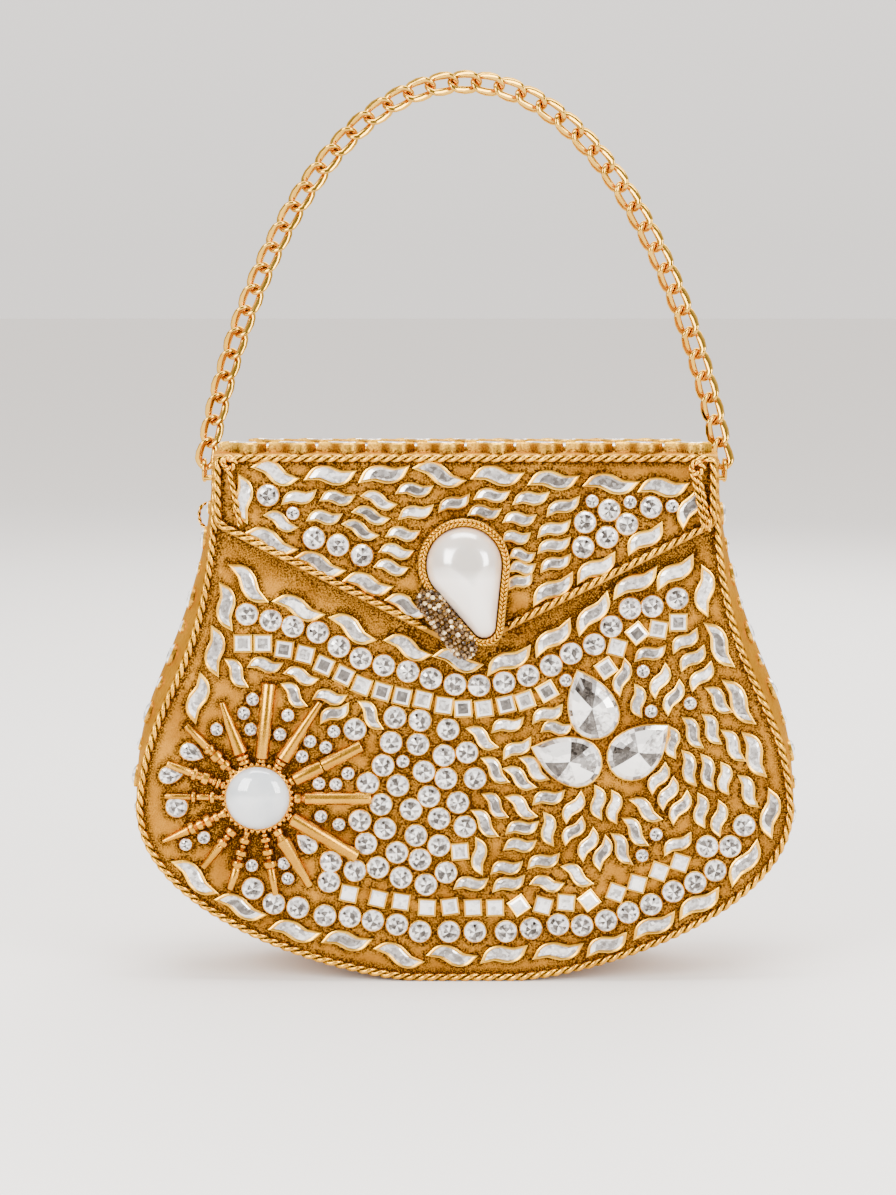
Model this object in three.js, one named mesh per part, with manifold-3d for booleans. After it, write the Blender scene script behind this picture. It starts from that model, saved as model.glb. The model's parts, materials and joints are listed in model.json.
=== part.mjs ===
// A rigid evening bag: a bell shaped metal body, a pointed flap on a hinge, a jewelled clasp over a magnetic
// snap, twisted edge cords, and a handle of curb links that hangs in a ring at each side.
// Millimetres. X runs across the bag, Y from front to back and Z up. The origin is on the ground, under the
// bag's middle.
import * as THREE from "three";
import { mergeVertices } from "three/addons/utils/BufferGeometryUtils.js";
import Module from "manifold-3d";

const wasm = await Module();
wasm.setup();

// Outline of the body, which the centre of each edge cord follows
const bodyTop = 160; // height of the mouth
const mouthHalfWidth = 75;
const wideHalfWidth = 98.9;
const wideHeight = 56; // height of the widest place
const footHalfWidth = 14; // half of the flat stretch that the bag stands on
const waistPull = 0.65; // the four curve handles, as shares of the curve's own height or width
const hipPull = 0.35;
const bellyPull = 0.65;
const solePull = 0.25;
const hipLean = 3; // how far the side leans out where it is widest

// Depth and walls
const halfDepth = 24.5; // middle of the bag to the centre of an edge cord
const panelThickness = 1.2;
const panelCrown = 1.4; // how far a pressed panel stands out at its middle
const gussetWall = 1;
const gussetBulge = 5; // how far the side swells at most, above the widest place
const bulgeHeight = 98;
const bulgeBelow = 65; // how far down and up from there the swelling dies away
const bulgeAbove = 75;
const panelMiddle = 72; // height of the point that a panel's rings of vertices are drawn round
const gussetLip = 3; // flange that a panel is soldered to
const cordRadius = 1.25;
const fitGap = 0.3; // between pieces that touch
const liningWall = 1;
const liningDrop = 2.2; // lining's hem below the mouth

// Flap and hinge
const flapThickness = 1.7;
const flapHalfWidth = 75.4;
const flapRise = 0.65; // underside of the flap's strip above the mouth
const flapTipDrop = 57.6; // point of the flap below the mouth
const flapShoulderDrop = 19.4;
const flapCornerRadius = 2.5;
const apronGap = 1.2; // apron to the front panel's crown
const flapCordInset = 1.4; // centre of the flap's cord inside the flap's edge
const hingeSetback = 7; // hinge axis in front of the back edge cord
const hingeHalfLength = 68;
const knuckleCount = 5;
const knuckleRadius = 2;
const knuckleGap = 0.4;
const hingePinRadius = 0.8;
const ledgeThickness = 1.4;
const ledgeDrop = 0.1; // top of the ledge below the mouth
const knuckleWeb = 0.4; // height of the web under a back knuckle, above the ledge

// Clasp and snap, measured from the point of the flap
const pearlRadius = 11.4;
const pearlTailRadius = 3.6;
const pearlAcross = -0.4;
const pearlUp = 26.9;
const pearlTailAcross = 5.6;
const pearlTailUp = 8.2;
const pearlHeight = 9.5;
const claspRim = 2.1; // width of the frame's rope rim
const claspFloor = 1.4;
const claspRimHeight = 2.6;
const pavedBarRadius = 3.7;
const pavedBarLength = 24;
const pavedBarAcross = -5.5;
const pavedBarUp = 9.2;
const pavedBarLean = 37; // degrees from upright
const snapUp = 9.6;
const snapRadius = 7;
const snapBackPlate = 0.8; // socket's back plate
const snapPlateLip = 1.5; // how far the plate reaches past the hole
const studRadius = 2.6;
const studTaper = 0.8;
const studFlangeRadius = 6;
const studFlange = 0.5; // thickness of the stud's flange
const noseDepth = 0.6; // how far the stud's nose enters the socket
const studPlay = 1;

// Settings on the front panel
const burstInset = 35.9; // sunburst's centre inside the widest place
const burstHeight = 57.3;
const cabochonRadius = 9.5;
const cabochonHeight = 5.5;
const bezelWidth = 1.4;
const bezelHeight = 2.2;
const settingSink = 0.5; // how far a setting's foot is let into the panel
const rayRadius = 1.5;
const rayGap = 0.8; // bezel to the ray's inner end
const raySeat = 0.5; // height of a ray's middle above the panel, in ray radii
const pearSettingRadius = 7.4;
const pearSettingTip = 1.2;
const pearSettingLength = 24;
const pearSettingHeight = 1.8;
const pearSettingWall = 1;
const pearSeatHeight = 0.5; // floor of the setting above the panel
const pearBalance = 0.38; // middle of a setting, from the head's centre, as a share of the way to the tip

// Handle
const linkCount = 43;
const linkWire = 1.7;
const linkWidth = 7.5; // outside, across the chain
const linkPlay = 0.35; // slack between two links
const linkTwist = 45; // degrees at each end of a link
const endLinkTurn = 14; // degrees that the two end links are turned to hang square in their rings
const hookPlay = 1; // slack between an end link and its ring
const ringRadius = 3.2; // side ring, to the middle of its wire
const ringWire = 1.3;
const ringStandoff = 7.2; // ring's plane outside the mouth
const ringDrop = 6.6; // ring's centre below the mouth
const ringSetback = 2; // ring's centre in front of the back edge cord
const ringLean = 45; // degrees from straight down to the ring's post, towards the front
const ringPostRadius = 0.9;
const ringFootRadius = 2;
const ringFootThickness = 0.8;
const archRise = 121; // chain's top above the ring's centre
const archLean = 8.2; // first curve handle of the arch, inwards and up
const archReach = 48;
const archShoulder = 46;

// Wire loop on the left side
const sideLoopHeight = 141;
const sideLoopHalfSpan = 3.7;
const sideLoopReach = 2.8;
const sideLoopWire = 0.6;

// Facets
const cordSides = 3; // pairs of sides
const cordSteps = 44;
const flapCordSteps = 64;
const outlineSteps = 36;
const gussetWebSteps = 4;
const mouthSteps = 4;
const linkSides = 5;
const linkSteps = 14;

const antiqueGold = new THREE.MeshStandardMaterial({ color: 0xc08a3a, roughness: 0.42, metalness: 1 });
const satinGold = new THREE.MeshStandardMaterial({ color: 0xcc9a4c, roughness: 0.35, metalness: 1 });
const cordGold = new THREE.MeshStandardMaterial({ color: 0xc8933f, roughness: 0.38, metalness: 1 });
const chainGold = new THREE.MeshStandardMaterial({ color: 0xecc98c, roughness: 0.18, metalness: 1 });
const steel = new THREE.MeshStandardMaterial({ color: 0xa9a39a, roughness: 0.35, metalness: 1 });
const pearlSkin = new THREE.MeshStandardMaterial({ color: 0xf2e2cf, roughness: 0.22, metalness: 0 });
const moonstone = new THREE.MeshStandardMaterial({ color: 0xd9dde4, roughness: 0.1, metalness: 0 });
const satinCloth = new THREE.MeshStandardMaterial({ color: 0x7c5a2c, roughness: 0.8, metalness: 0 });

// Planes that several pieces share
const gussetEdge = halfDepth - cordRadius - fitGap; // outer face of a gusset lip, from the middle of the bag
const panelInner = gussetEdge + fitGap;
const panelOuter = panelInner + panelThickness;
const gussetOut = cordRadius + 0.05; // gusset outside the cord's centre, so that it meets the ground
const apronInner = -(panelOuter + panelCrown + apronGap);
const apronOuter = apronInner - flapThickness;
const stripBottom = bodyTop + flapRise;
const hingeY = halfDepth - hingeSetback;
const hingeZ = stripBottom + flapThickness / 2;
const flapTip = bodyTop - flapTipDrop;
const ringX = mouthHalfWidth + ringStandoff;
const ringY = halfDepth - ringSetback;
const ringZ = bodyTop - ringDrop;

const beyond = 10; // how far a cutting tool reaches past what it cuts
const radians = THREE.MathUtils.degToRad;
const bag = new THREE.Group();

// A solid from a geometry whose faces close.
function solid(geometry) {
  const bare = geometry.clone();
  bare.deleteAttribute("normal");
  bare.deleteAttribute("uv");
  const merged = mergeVertices(bare, 1e-4);
  const triVerts = Uint32Array.from(merged.index.array);
  return new wasm.Manifold(
    new wasm.Mesh({ numProp: 3, vertProperties: merged.attributes.position.array, triVerts }),
  );
}

// The geometry of a solid.
function geometryOf(made) {
  const mesh = made.getMesh();
  const points = new Float32Array(mesh.numVert * 3);
  for (let i = 0; i < mesh.numVert; i++) {
    const start = i * mesh.numProp;
    points.set(mesh.vertProperties.subarray(start, start + 3), i * 3);
  }
  const geometry = new THREE.BufferGeometry();
  geometry.setAttribute("position", new THREE.BufferAttribute(points, 3));
  geometry.setIndex(new THREE.BufferAttribute(mesh.triVerts, 1));
  geometry.computeVertexNormals();
  return geometry;
}

// Puts a piece in the bag under its name.
function place(name, shape, material, parent = bag) {
  const geometry = shape.isBufferGeometry ? shape : geometryOf(shape);
  const mesh = new THREE.Mesh(geometry, material);
  mesh.name = name;
  parent.add(mesh);
  return mesh;
}

// A block between two corners.
function block(low, high) {
  const size = high.map((value, axis) => value - low[axis]);
  const middle = high.map((value, axis) => (value + low[axis]) / 2);
  return solid(new THREE.BoxGeometry(...size).translate(...middle));
}

// A round bar along X.
function barAlongX(radius, from, to, y, z, sides = 14) {
  const bar = new THREE.CylinderGeometry(radius, radius, to - from, sides);
  return bar.rotateZ(Math.PI / 2).translate((from + to) / 2, y, z);
}

// A profile of radii and heights, revolved.
function lathe(profile, segments) {
  return new THREE.LatheGeometry(profile.map((point) => new THREE.Vector2(...point)), segments);
}

// A flat shape drawn in X and Z, given a thickness that runs from one depth to another.
function plate(shape, front, back, curveSegments = 8) {
  const cut = new THREE.ExtrudeGeometry(shape, { depth: back - front, bevelEnabled: false, curveSegments });
  return solid(cut.rotateX(Math.PI / 2).translate(0, back, 0));
}

// The rounded outline round two circles, such as a pear or a bar with round ends.
function pearShape(x1, z1, r1, x2, z2, r2) {
  const heading = Math.atan2(z2 - z1, x2 - x1);
  const lean = Math.acos((r1 - r2) / Math.hypot(x2 - x1, z2 - z1));
  const shape = new THREE.Shape();
  shape.absarc(x1, z1, r1, heading + lean, heading + 2 * Math.PI - lean);
  shape.absarc(x2, z2, r2, heading - lean, heading + lean);
  shape.closePath();
  return shape;
}

// The body's outline from the mouth's left end, under the bag, to its right end.
function bodyOutline() {
  const drop = bodyTop - wideHeight;
  const rise = wideHeight - gussetOut;
  const reach = wideHalfWidth - footHalfWidth;
  const waist = bodyTop - waistPull * drop;
  const hip = wideHeight + hipPull * drop;
  const belly = wideHeight - bellyPull * rise;
  const sole = footHalfWidth + solePull * reach;
  const inner = wideHalfWidth - hipLean;
  const outer = wideHalfWidth + hipLean;
  const path = new THREE.Path();
  path.moveTo(-mouthHalfWidth, bodyTop);
  path.bezierCurveTo(-mouthHalfWidth, waist, -inner, hip, -wideHalfWidth, wideHeight);
  path.bezierCurveTo(-outer, belly, -sole, gussetOut, -footHalfWidth, gussetOut);
  path.lineTo(footHalfWidth, gussetOut);
  path.bezierCurveTo(sole, gussetOut, outer, belly, wideHalfWidth, wideHeight);
  path.bezierCurveTo(inner, hip, mouthHalfWidth, waist, mouthHalfWidth, bodyTop);
  return path;
}
const outline = bodyOutline();

// A point of the outline moved outwards, or inwards where the distance is negative.
function outlinePoint(share, outwards) {
  const u = THREE.MathUtils.clamp(share, 0, 1);
  const point = outline.getPointAt(u);
  const along = outline.getTangentAt(u);
  return new THREE.Vector2(point.x + along.y * outwards, point.y - along.x * outwards);
}

// Half width of the outline at a height above its widest place.
function sideAt(height) {
  let low = 0.5;
  let high = 1;
  for (let turn = 0; turn < 30; turn++) {
    const middle = (low + high) / 2;
    if (outline.getPointAt(middle).y < height) low = middle;
    else high = middle;
  }
  return outline.getPointAt(low).x;
}

// How far the gusset stands out from the cord's line at a height and a depth.
function swell(z, y) {
  const away = (z - bulgeHeight) / (z < bulgeHeight ? -bulgeBelow : bulgeAbove);
  const share = Math.cos((Math.min(away, 1) * Math.PI) / 2) ** 2;
  return gussetBulge * share * (1 - (y / gussetEdge) ** 2);
}

// How far a pressed panel stands out at a point of its face.
function bow(x, z) {
  return panelCrown * (1 - (x / wideHalfWidth) ** 2) * (1 - ((2 * z) / bodyTop - 1) ** 2);
}

// The front panel's face, as a depth.
const faceAt = (x, z) => -(panelOuter + bow(x, z));

// The rim of a panel, anticlockwise from the mouth's left end, seen from the front.
function panelRim() {
  const rim = [];
  for (let i = 0; i <= outlineSteps; i++) {
    rim.push(outlinePoint(i / outlineSteps, -(cordRadius + fitGap)));
  }
  const half = rim[0].x;
  for (let i = 1; i < mouthSteps; i++) {
    rim.push(new THREE.Vector2(-half + (2 * half * i) / mouthSteps, bodyTop));
  }
  return rim;
}

// A disc with rings of vertices, drawn out to a rim. Each entry of the profile is a ring's share of the way
// from the middle to the rim, and its layer, and depthAt gives the depth of a point of that ring and layer.
function drawnDisc(rim, middle, profile, depthAt) {
  const disc = lathe(profile, rim.length);
  const position = disc.attributes.position;
  for (let i = 0; i < position.count; i++) {
    const [share, layer] = profile[i % profile.length];
    const edge = rim[Math.floor(i / profile.length) % rim.length];
    const x = middle.x + share * (edge.x - middle.x);
    const z = middle.y + share * (edge.y - middle.y);
    position.setXYZ(i, x, depthAt(share, layer, x, z), z);
  }
  return disc;
}

// A pressed panel, bowed towards the front.
function panelGeometry() {
  const middle = new THREE.Vector2(0, panelMiddle);
  const profile = [[0, panelInner], [0.6, panelInner], [1, panelInner]];
  for (const share of [1, 0.75, 0.4, 0]) profile.push([share, panelOuter]);
  return drawnDisc(panelRim(), middle, profile, (share, layer, x, z) => -(layer + bow(x, z)));
}

// One turned or plain ray, from its inner to its outer end, as a revolved profile.
function rayGeometry(length, turned) {
  const profile = turned
    ? [[0, 0], [0.8, 0], [1, 0.16], [0.62, 0.3], [1, 0.45], [0.62, 0.6], [1, 0.76], [0.7, 1], [0, 1]]
    : [[0, 0], [0.75, 0], [1, 0.08], [1, 0.92], [0.75, 1], [0, 1]];
  return lathe(profile.map(([radius, share]) => [radius * rayRadius, share * length]), 6);
}

// Rays of the sunburst: degrees anticlockwise from the right, reach from its centre, and whether it is turned
const rays = [
  [86, 35.4, false], [57, 33.9, false], [24, 35.4, false], [-1, 33.5, false], [-30, 34.1, true],
  [-60, 29.6, true], [-80, 27.9, true], [-108, 27.7, true], [-128, 27.2, true], [-155, 32.2, true],
  [179, 28.7, true], [158, 29.6, false], [134, 31.2, false], [110, 30.9, false],
];
const burstX = -(wideHalfWidth - burstInset);

// Three pear settings: across, height, and degrees anticlockwise from the right to the tip
const pearSettings = [
  [39.4, 84, 112],
  [34.2, 68.6, 158],
  [50.2, 71, 37],
];

function sunburst() {
  const inner = cabochonRadius + fitGap + bezelWidth + rayGap;
  const depth = faceAt(burstX, burstHeight);
  const seat = cabochonRadius + fitGap;
  const foot = -settingSink / bezelHeight;
  const wall = [[0, foot], [1, foot], [1, 0.7], [0.4, 1], [0, 1], [0, foot]];
  const bezel = lathe(wall.map(([share, height]) => [seat + share * bezelWidth, height * bezelHeight]), 22);
  let made = solid(bezel.rotateX(Math.PI).translate(burstX, depth, burstHeight));
  for (const [angle, reach, turned] of rays) {
    const heading = new THREE.Vector2(Math.cos(radians(angle)), Math.sin(radians(angle)));
    const end = (distance) => {
      const x = burstX + heading.x * distance;
      const z = burstHeight + heading.y * distance;
      return new THREE.Vector3(x, faceAt(x, z) - rayRadius * raySeat, z);
    };
    const from = end(inner);
    const along = end(reach).sub(from);
    const ray = rayGeometry(along.length(), turned);
    const turn = new THREE.Quaternion().setFromUnitVectors(new THREE.Vector3(0, 1, 0), along.normalize());
    made = made.add(solid(ray.applyQuaternion(turn).translate(from.x, from.y, from.z)));
  }
  return made;
}

// A pear shaped bezel, open in front, that stands on the panel.
function pearBezel(x, z, angle) {
  const toTip = pearSettingLength - pearSettingRadius - pearSettingTip;
  const heading = new THREE.Vector2(Math.cos(radians(angle)), Math.sin(radians(angle)));
  const head = new THREE.Vector2(x, z).addScaledVector(heading, -toTip * pearBalance);
  const tip = head.clone().addScaledVector(heading, toTip);
  const drop = (radius, end) => pearShape(head.x, head.y, radius, tip.x, tip.y, end);
  const depth = faceAt(x, z);
  const rim = depth - pearSettingHeight;
  const outside = drop(pearSettingRadius, pearSettingTip);
  const inside = drop(pearSettingRadius - pearSettingWall, pearSettingTip * 0.3);
  const seat = plate(inside, rim - beyond, depth - pearSeatHeight, 5);
  return plate(outside, rim, depth + settingSink, 5).subtract(seat);
}

function frontPanel() {
  const snapZ = flapTip + snapUp;
  const hole = new THREE.CylinderGeometry(snapRadius + fitGap, snapRadius + fitGap, 2 * beyond, 28);
  let made = solid(panelGeometry());
  made = made.add(sunburst());
  for (const [x, z, angle] of pearSettings) made = made.add(pearBezel(x, z, angle));
  return made.subtract(solid(hole.translate(0, -panelOuter, snapZ)));
}

// Ends of each hinge knuckle along X.
function knuckles() {
  const pitch = (2 * hingeHalfLength) / knuckleCount;
  const list = [];
  for (let i = 0; i < knuckleCount; i++) {
    const from = -hingeHalfLength + i * pitch + knuckleGap / 2;
    list.push({ from, to: from + pitch - knuckleGap, onFlap: i % 2 === 0 });
  }
  return list;
}
function pinHole() {
  const half = hingeHalfLength + beyond;
  return solid(barAlongX(hingePinRadius + fitGap, -half, half, hingeY, hingeZ));
}

// The back panel has a ledge turned in along the mouth, which carries its share of the hinge knuckles.
function backPanel() {
  const ledgeTop = bodyTop - ledgeDrop;
  const ledgeBottom = ledgeTop - ledgeThickness;
  const ledgeFront = hingeY + knuckleRadius + fitGap;
  let made = solid(panelGeometry().rotateZ(Math.PI));
  const ledgeBack = panelInner + panelThickness / 2;
  made = made.add(block([-hingeHalfLength, ledgeFront, ledgeBottom], [hingeHalfLength, ledgeBack, ledgeTop]));
  for (const { from, to, onFlap } of knuckles()) {
    if (onFlap) continue;
    made = made.add(solid(barAlongX(knuckleRadius, from, to, hingeY, hingeZ)));
    made = made.add(block([from, hingeY, ledgeBottom], [to, ledgeBack, ledgeTop + knuckleWeb]));
  }
  return made.subtract(pinHole());
}

// The gusset is a channel bent along the outline: a web that swells outwards and a lip behind each panel.
function gusset() {
  const inner = gussetOut - gussetWall;
  const lipInside = gussetEdge - gussetWall;
  const section = new THREE.Shape();
  section.moveTo(-gussetLip, -gussetEdge);
  const across = (i) => (2 * i) / gussetWebSteps - 1;
  for (let i = 0; i <= gussetWebSteps; i++) section.lineTo(gussetOut, gussetEdge * across(i));
  section.lineTo(-gussetLip, gussetEdge);
  section.lineTo(-gussetLip, lipInside);
  for (let i = gussetWebSteps; i >= 0; i--) section.lineTo(inner, lipInside * across(i));
  section.lineTo(-gussetLip, -lipInside);
  section.closePath();
  const strip = new THREE.ExtrudeGeometry(section, { depth: 1, steps: outlineSteps, bevelEnabled: false });
  const position = strip.attributes.position;
  for (let i = 0; i < position.count; i++) {
    const depth = position.getY(i);
    const centre = outlinePoint(position.getZ(i), 0);
    const point = outlinePoint(position.getZ(i), position.getX(i) + swell(centre.y, depth));
    position.setXYZ(i, point.x, depth, point.y);
  }
  return strip;
}

// A flat path carried into space at one depth.
class PathAtDepth extends THREE.Curve {
  constructor(path, depth) {
    super();
    this.path = path;
    this.depth = depth;
  }

  getPoint(t) {
    const point = this.path.getPointAt(THREE.MathUtils.clamp(t, 0, 1));
    return new THREE.Vector3(point.x, this.depth, point.y);
  }
}

// A round cord or wire along a curve.
function tube(curve, radius, steps, sidePairs) {
  const section = new THREE.Shape().absarc(0, 0, radius, 0, 2 * Math.PI);
  const settings = { extrudePath: curve, steps, bevelEnabled: false, curveSegments: sidePairs };
  return new THREE.ExtrudeGeometry(section, settings);
}

// The flap's outline, moved inwards by a distance, as the five corners of a pointed apron.
function flapCorners(inset) {
  const slope = (flapTipDrop - flapShoulderDrop) / flapHalfWidth;
  const half = flapHalfWidth - inset;
  const tip = flapTip + inset * Math.hypot(1, slope);
  const shoulder = tip + slope * half;
  return { half, tip, shoulder, slope };
}

// The pointed apron seen from the front, with its top above the strip.
function apronShape() {
  const { half, tip, shoulder, slope } = flapCorners(0);
  const r = flapCornerRadius;
  const top = bodyTop + beyond;
  const shape = new THREE.Shape();
  shape.moveTo(-half, top);
  shape.lineTo(-half, shoulder + r);
  shape.quadraticCurveTo(-half, shoulder, -half + r, shoulder - slope * r);
  shape.lineTo(-r, tip + slope * r);
  shape.quadraticCurveTo(0, tip, r, tip + slope * r);
  shape.lineTo(half - r, shoulder - slope * r);
  shape.quadraticCurveTo(half, shoulder, half, shoulder + r);
  shape.lineTo(half, top);
  return shape;
}

// The flap: one sheet folded over the front edge of the mouth, with its share of the hinge knuckles.
function flap() {
  const stripTop = stripBottom + flapThickness;
  const bendRadius = flapThickness * 1.2;
  const section = new THREE.Shape();
  section.moveTo(hingeY, stripBottom);
  section.lineTo(hingeY, stripTop);
  section.lineTo(apronOuter + bendRadius, stripTop);
  section.absarc(apronOuter + bendRadius, stripTop - bendRadius, bendRadius, Math.PI / 2, Math.PI);
  section.lineTo(apronOuter, flapTip - beyond);
  section.lineTo(apronInner, flapTip - beyond);
  section.lineTo(apronInner, stripBottom);
  section.closePath();
  const sheet = new THREE.ExtrudeGeometry(section, {
    depth: 2 * (flapHalfWidth + beyond),
    bevelEnabled: false,
    curveSegments: 4,
  });
  // The section is drawn in Y and Z and drawn out along X.
  sheet.applyMatrix4(
    new THREE.Matrix4().makeBasis(
      new THREE.Vector3(0, 1, 0),
      new THREE.Vector3(0, 0, 1),
      new THREE.Vector3(1, 0, 0),
    ),
  );
  let made = solid(sheet.translate(-flapHalfWidth - beyond, 0, 0));
  made = made.intersect(plate(apronShape(), apronOuter - beyond, hingeY + beyond));
  // Room for the back panel's knuckles, and past the ends of the hinge
  const clear = hingeY - knuckleRadius - knuckleGap;
  const [low, high] = [stripBottom - beyond, stripTop + beyond];
  const notch = (from, to) => block([from, clear, low], [to, hingeY + beyond, high]);
  const end = hingeHalfLength - knuckleGap / 2;
  made = made.subtract(notch(end, flapHalfWidth + beyond)).subtract(notch(-flapHalfWidth - beyond, -end));
  for (const { from, to, onFlap } of knuckles()) {
    made = onFlap
      ? made.add(solid(barAlongX(knuckleRadius, from, to, hingeY, hingeZ)))
      : made.subtract(notch(from - knuckleGap, to + knuckleGap));
  }
  return made.subtract(pinHole());
}

// The cord on the apron's face runs from one side of the clasp round the flap to the other.
function flapCordPath() {
  const { half, tip, shoulder, slope } = flapCorners(flapCordInset);
  const r = flapCornerRadius;
  const top = stripBottom + flapThickness - flapCordInset;
  const rightStart = pearlTailAcross + pearlTailRadius + claspRim + cordRadius + fitGap;
  const leftEnd = pavedBarAcross - pavedBarRadius / Math.cos(radians(pavedBarLean)) - cordRadius - 2 * fitGap;
  const path = new THREE.Path();
  path.moveTo(rightStart, tip + slope * rightStart);
  path.lineTo(half - r, shoulder - slope * r);
  path.quadraticCurveTo(half, shoulder, half, shoulder + r);
  path.lineTo(half, top - r);
  path.quadraticCurveTo(half, top, half - r, top);
  path.lineTo(-half + r, top);
  path.quadraticCurveTo(-half, top, -half, top - r);
  path.lineTo(-half, shoulder + r);
  path.quadraticCurveTo(-half, shoulder, -half + r, shoulder - slope * r);
  path.lineTo(leftEnd, tip - slope * leftEnd);
  return path;
}

// The lining is a pocket with a hem below the mouth.
function lining() {
  const far = 2 * bodyTop;
  const pocket = (inwards, half, top) => {
    const shape = new THREE.Shape();
    for (let i = 0; i <= outlineSteps; i++) {
      const point = outlinePoint(i / outlineSteps, inwards);
      if (i === 0) shape.moveTo(point.x, point.y);
      else shape.lineTo(point.x, point.y);
    }
    return plate(shape, -half, half).intersect(block([-far, -far, -far], [far, far, top]));
  };
  const outside = gussetOut - gussetWall - 2 * fitGap;
  const halfOutside = gussetEdge - gussetWall - fitGap;
  const hem = bodyTop - liningDrop;
  const inside = pocket(outside - liningWall, halfOutside - liningWall, hem + beyond);
  return pocket(outside, halfOutside, hem).subtract(inside);
}

// Frame of the clasp: a cup with a raised rim round the pearl, and the paved bar beside it.
function claspFrame() {
  const back = apronOuter - fitGap;
  const floor = back - claspFloor;
  const lip = floor - claspRimHeight;
  const cup = (spread) => pearShape(
    pearlAcross, flapTip + pearlUp, pearlRadius + spread,
    pearlTailAcross, flapTip + pearlTailUp, pearlTailRadius + spread,
  );
  const bar = new THREE.CapsuleGeometry(pavedBarRadius, pavedBarLength - 2 * pavedBarRadius, 3, 10);
  bar.rotateX(Math.PI / 2).rotateY(radians(-pavedBarLean));
  bar.translate(pavedBarAcross, back - pavedBarRadius * 0.8, flapTip + pavedBarUp);
  const position = bar.attributes.position;
  for (let i = 0; i < position.count; i++) position.setY(i, Math.min(position.getY(i), back));
  const seat = plate(cup(fitGap), lip - beyond, floor);
  return plate(cup(claspRim + fitGap), lip, back).add(solid(bar)).subtract(seat);
}

// A baroque pearl with a flat back: a dome over the outline of its seat, round at the top with a tail.
function pearlGeometry() {
  const tail = new THREE.Vector2(pearlTailAcross - pearlAcross, pearlTailUp - pearlUp);
  const rim = pearShape(0, 0, pearlRadius, tail.x, tail.y, pearlTailRadius).getSpacedPoints(24).slice(0, -1);
  const middle = tail.clone().multiplyScalar(0.3);
  const profile = [[0, 0], [0.86, 0], [1, 0.3], [0.9, 0.62], [0.7, 0.84], [0.4, 0.96], [0, 1]];
  return drawnDisc(rim, middle, profile, (share, layer) => -layer * pearlHeight);
}

// A side ring on a post with a foot. Its hole runs along X, and the handle turns in it.
function sideRing(side) {
  const foot = {
    y: -ringRadius * Math.sin(radians(ringLean)),
    z: -ringRadius * Math.cos(radians(ringLean)),
  };
  const seatZ = ringZ + foot.z;
  const seatY = ringY + foot.y;
  const high = Math.max(seatY - ringFootRadius, 0);
  const widest = sideAt(seatZ - ringFootRadius);
  const wall = widest + gussetOut + swell(seatZ - ringFootRadius, high) + fitGap;
  const inset = wall - ringX;
  const ring = new THREE.TorusGeometry(ringRadius, ringWire / 2, 6, 18).rotateY(Math.PI / 2);
  const post = barAlongX(ringPostRadius, inset, 0, foot.y, foot.z, 8);
  const plateAtFoot = barAlongX(ringFootRadius, inset, inset + ringFootThickness, foot.y, foot.z, 12);
  const made = solid(ring).add(solid(post)).add(solid(plateAtFoot));
  const geometry = geometryOf(made);
  if (side > 0) return geometry;
  // The left ring is the right one's mirror image, so its faces are turned round again.
  geometry.scale(-1, 1, 1);
  const index = geometry.index.array;
  for (let i = 0; i < index.length; i += 3) [index[i + 1], index[i + 2]] = [index[i + 2], index[i + 1]];
  return geometry;
}

// Path of the handle, from the left ring's centre over the top to the right one's.
function handleArch() {
  const top = ringZ + archRise;
  const at = (x, z) => new THREE.Vector3(x, ringY, z);
  const arch = new THREE.CurvePath();
  const lower = [ringX - archLean, ringZ + archReach];
  arch.add(new THREE.CubicBezierCurve3(
    at(-ringX, ringZ), at(-lower[0], lower[1]), at(-archShoulder, top), at(0, top),
  ));
  arch.add(new THREE.CubicBezierCurve3(
    at(0, top), at(archShoulder, top), at(lower[0], lower[1]), at(ringX, ringZ),
  ));
  return arch;
}

// Places of the links along the arch. The end links reach just through the side rings.
const arch = handleArch();
const archLength = arch.getLength();
const endHook = ringRadius - (ringWire + linkWire) / 2 - hookPlay; // link's end wire above the ring's centre
const linkPitch = (archLength - 2 * endHook - linkWire - linkPlay) / linkCount;
const linkHalf = (linkPitch + linkWire + linkPlay) / 2; // to the middle of the wire at a link's end

// One curb link: an oval of wire twisted about its long axis, so that its ends cross those of its neighbours.
function linkGeometry() {
  const link = new THREE.TorusGeometry(1, 0.5, linkSides, linkSteps);
  const position = link.attributes.position;
  const uv = link.attributes.uv;
  const halfWidth = (linkWidth - linkWire) / 2;
  const straight = linkHalf - halfWidth;
  for (let i = 0; i < position.count; i++) {
    const round = (uv.getX(i) + 0.5 / linkSteps) * 2 * Math.PI;
    const section = uv.getY(i) * 2 * Math.PI;
    const out = (linkWire / 2) * Math.cos(section);
    const up = (-linkWire / 2) * Math.sin(section);
    const end = Math.sign(Math.sin(round)) * straight;
    const centre = halfWidth * Math.sin(round) + end;
    const twist = radians(linkTwist) * (centre / linkHalf);
    const across = (halfWidth + out) * Math.cos(round);
    const along = (halfWidth + out) * Math.sin(round) + end;
    const x = across * Math.cos(twist) - up * Math.sin(twist);
    const y = across * Math.sin(twist) + up * Math.cos(twist);
    position.setXYZ(i, x, y, along);
  }
  return link;
}

function handle() {
  const chain = new THREE.Group();
  const link = linkGeometry();
  const first = endHook + linkHalf;
  for (let i = 0; i < linkCount; i++) {
    const share = (first + i * linkPitch) / archLength;
    const along = arch.getTangentAt(share);
    const name = "chain_link_" + String(i + 1).padStart(2, "0");
    const mesh = place(name, link, chainGold, chain);
    mesh.position.copy(arch.getPointAt(share));
    mesh.rotation.y = Math.atan2(along.x, along.z);
    if (i === 0) mesh.rotateZ(radians(endLinkTurn));
    if (i === linkCount - 1) mesh.rotateZ(radians(-endLinkTurn));
  }
  return chain;
}

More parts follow.
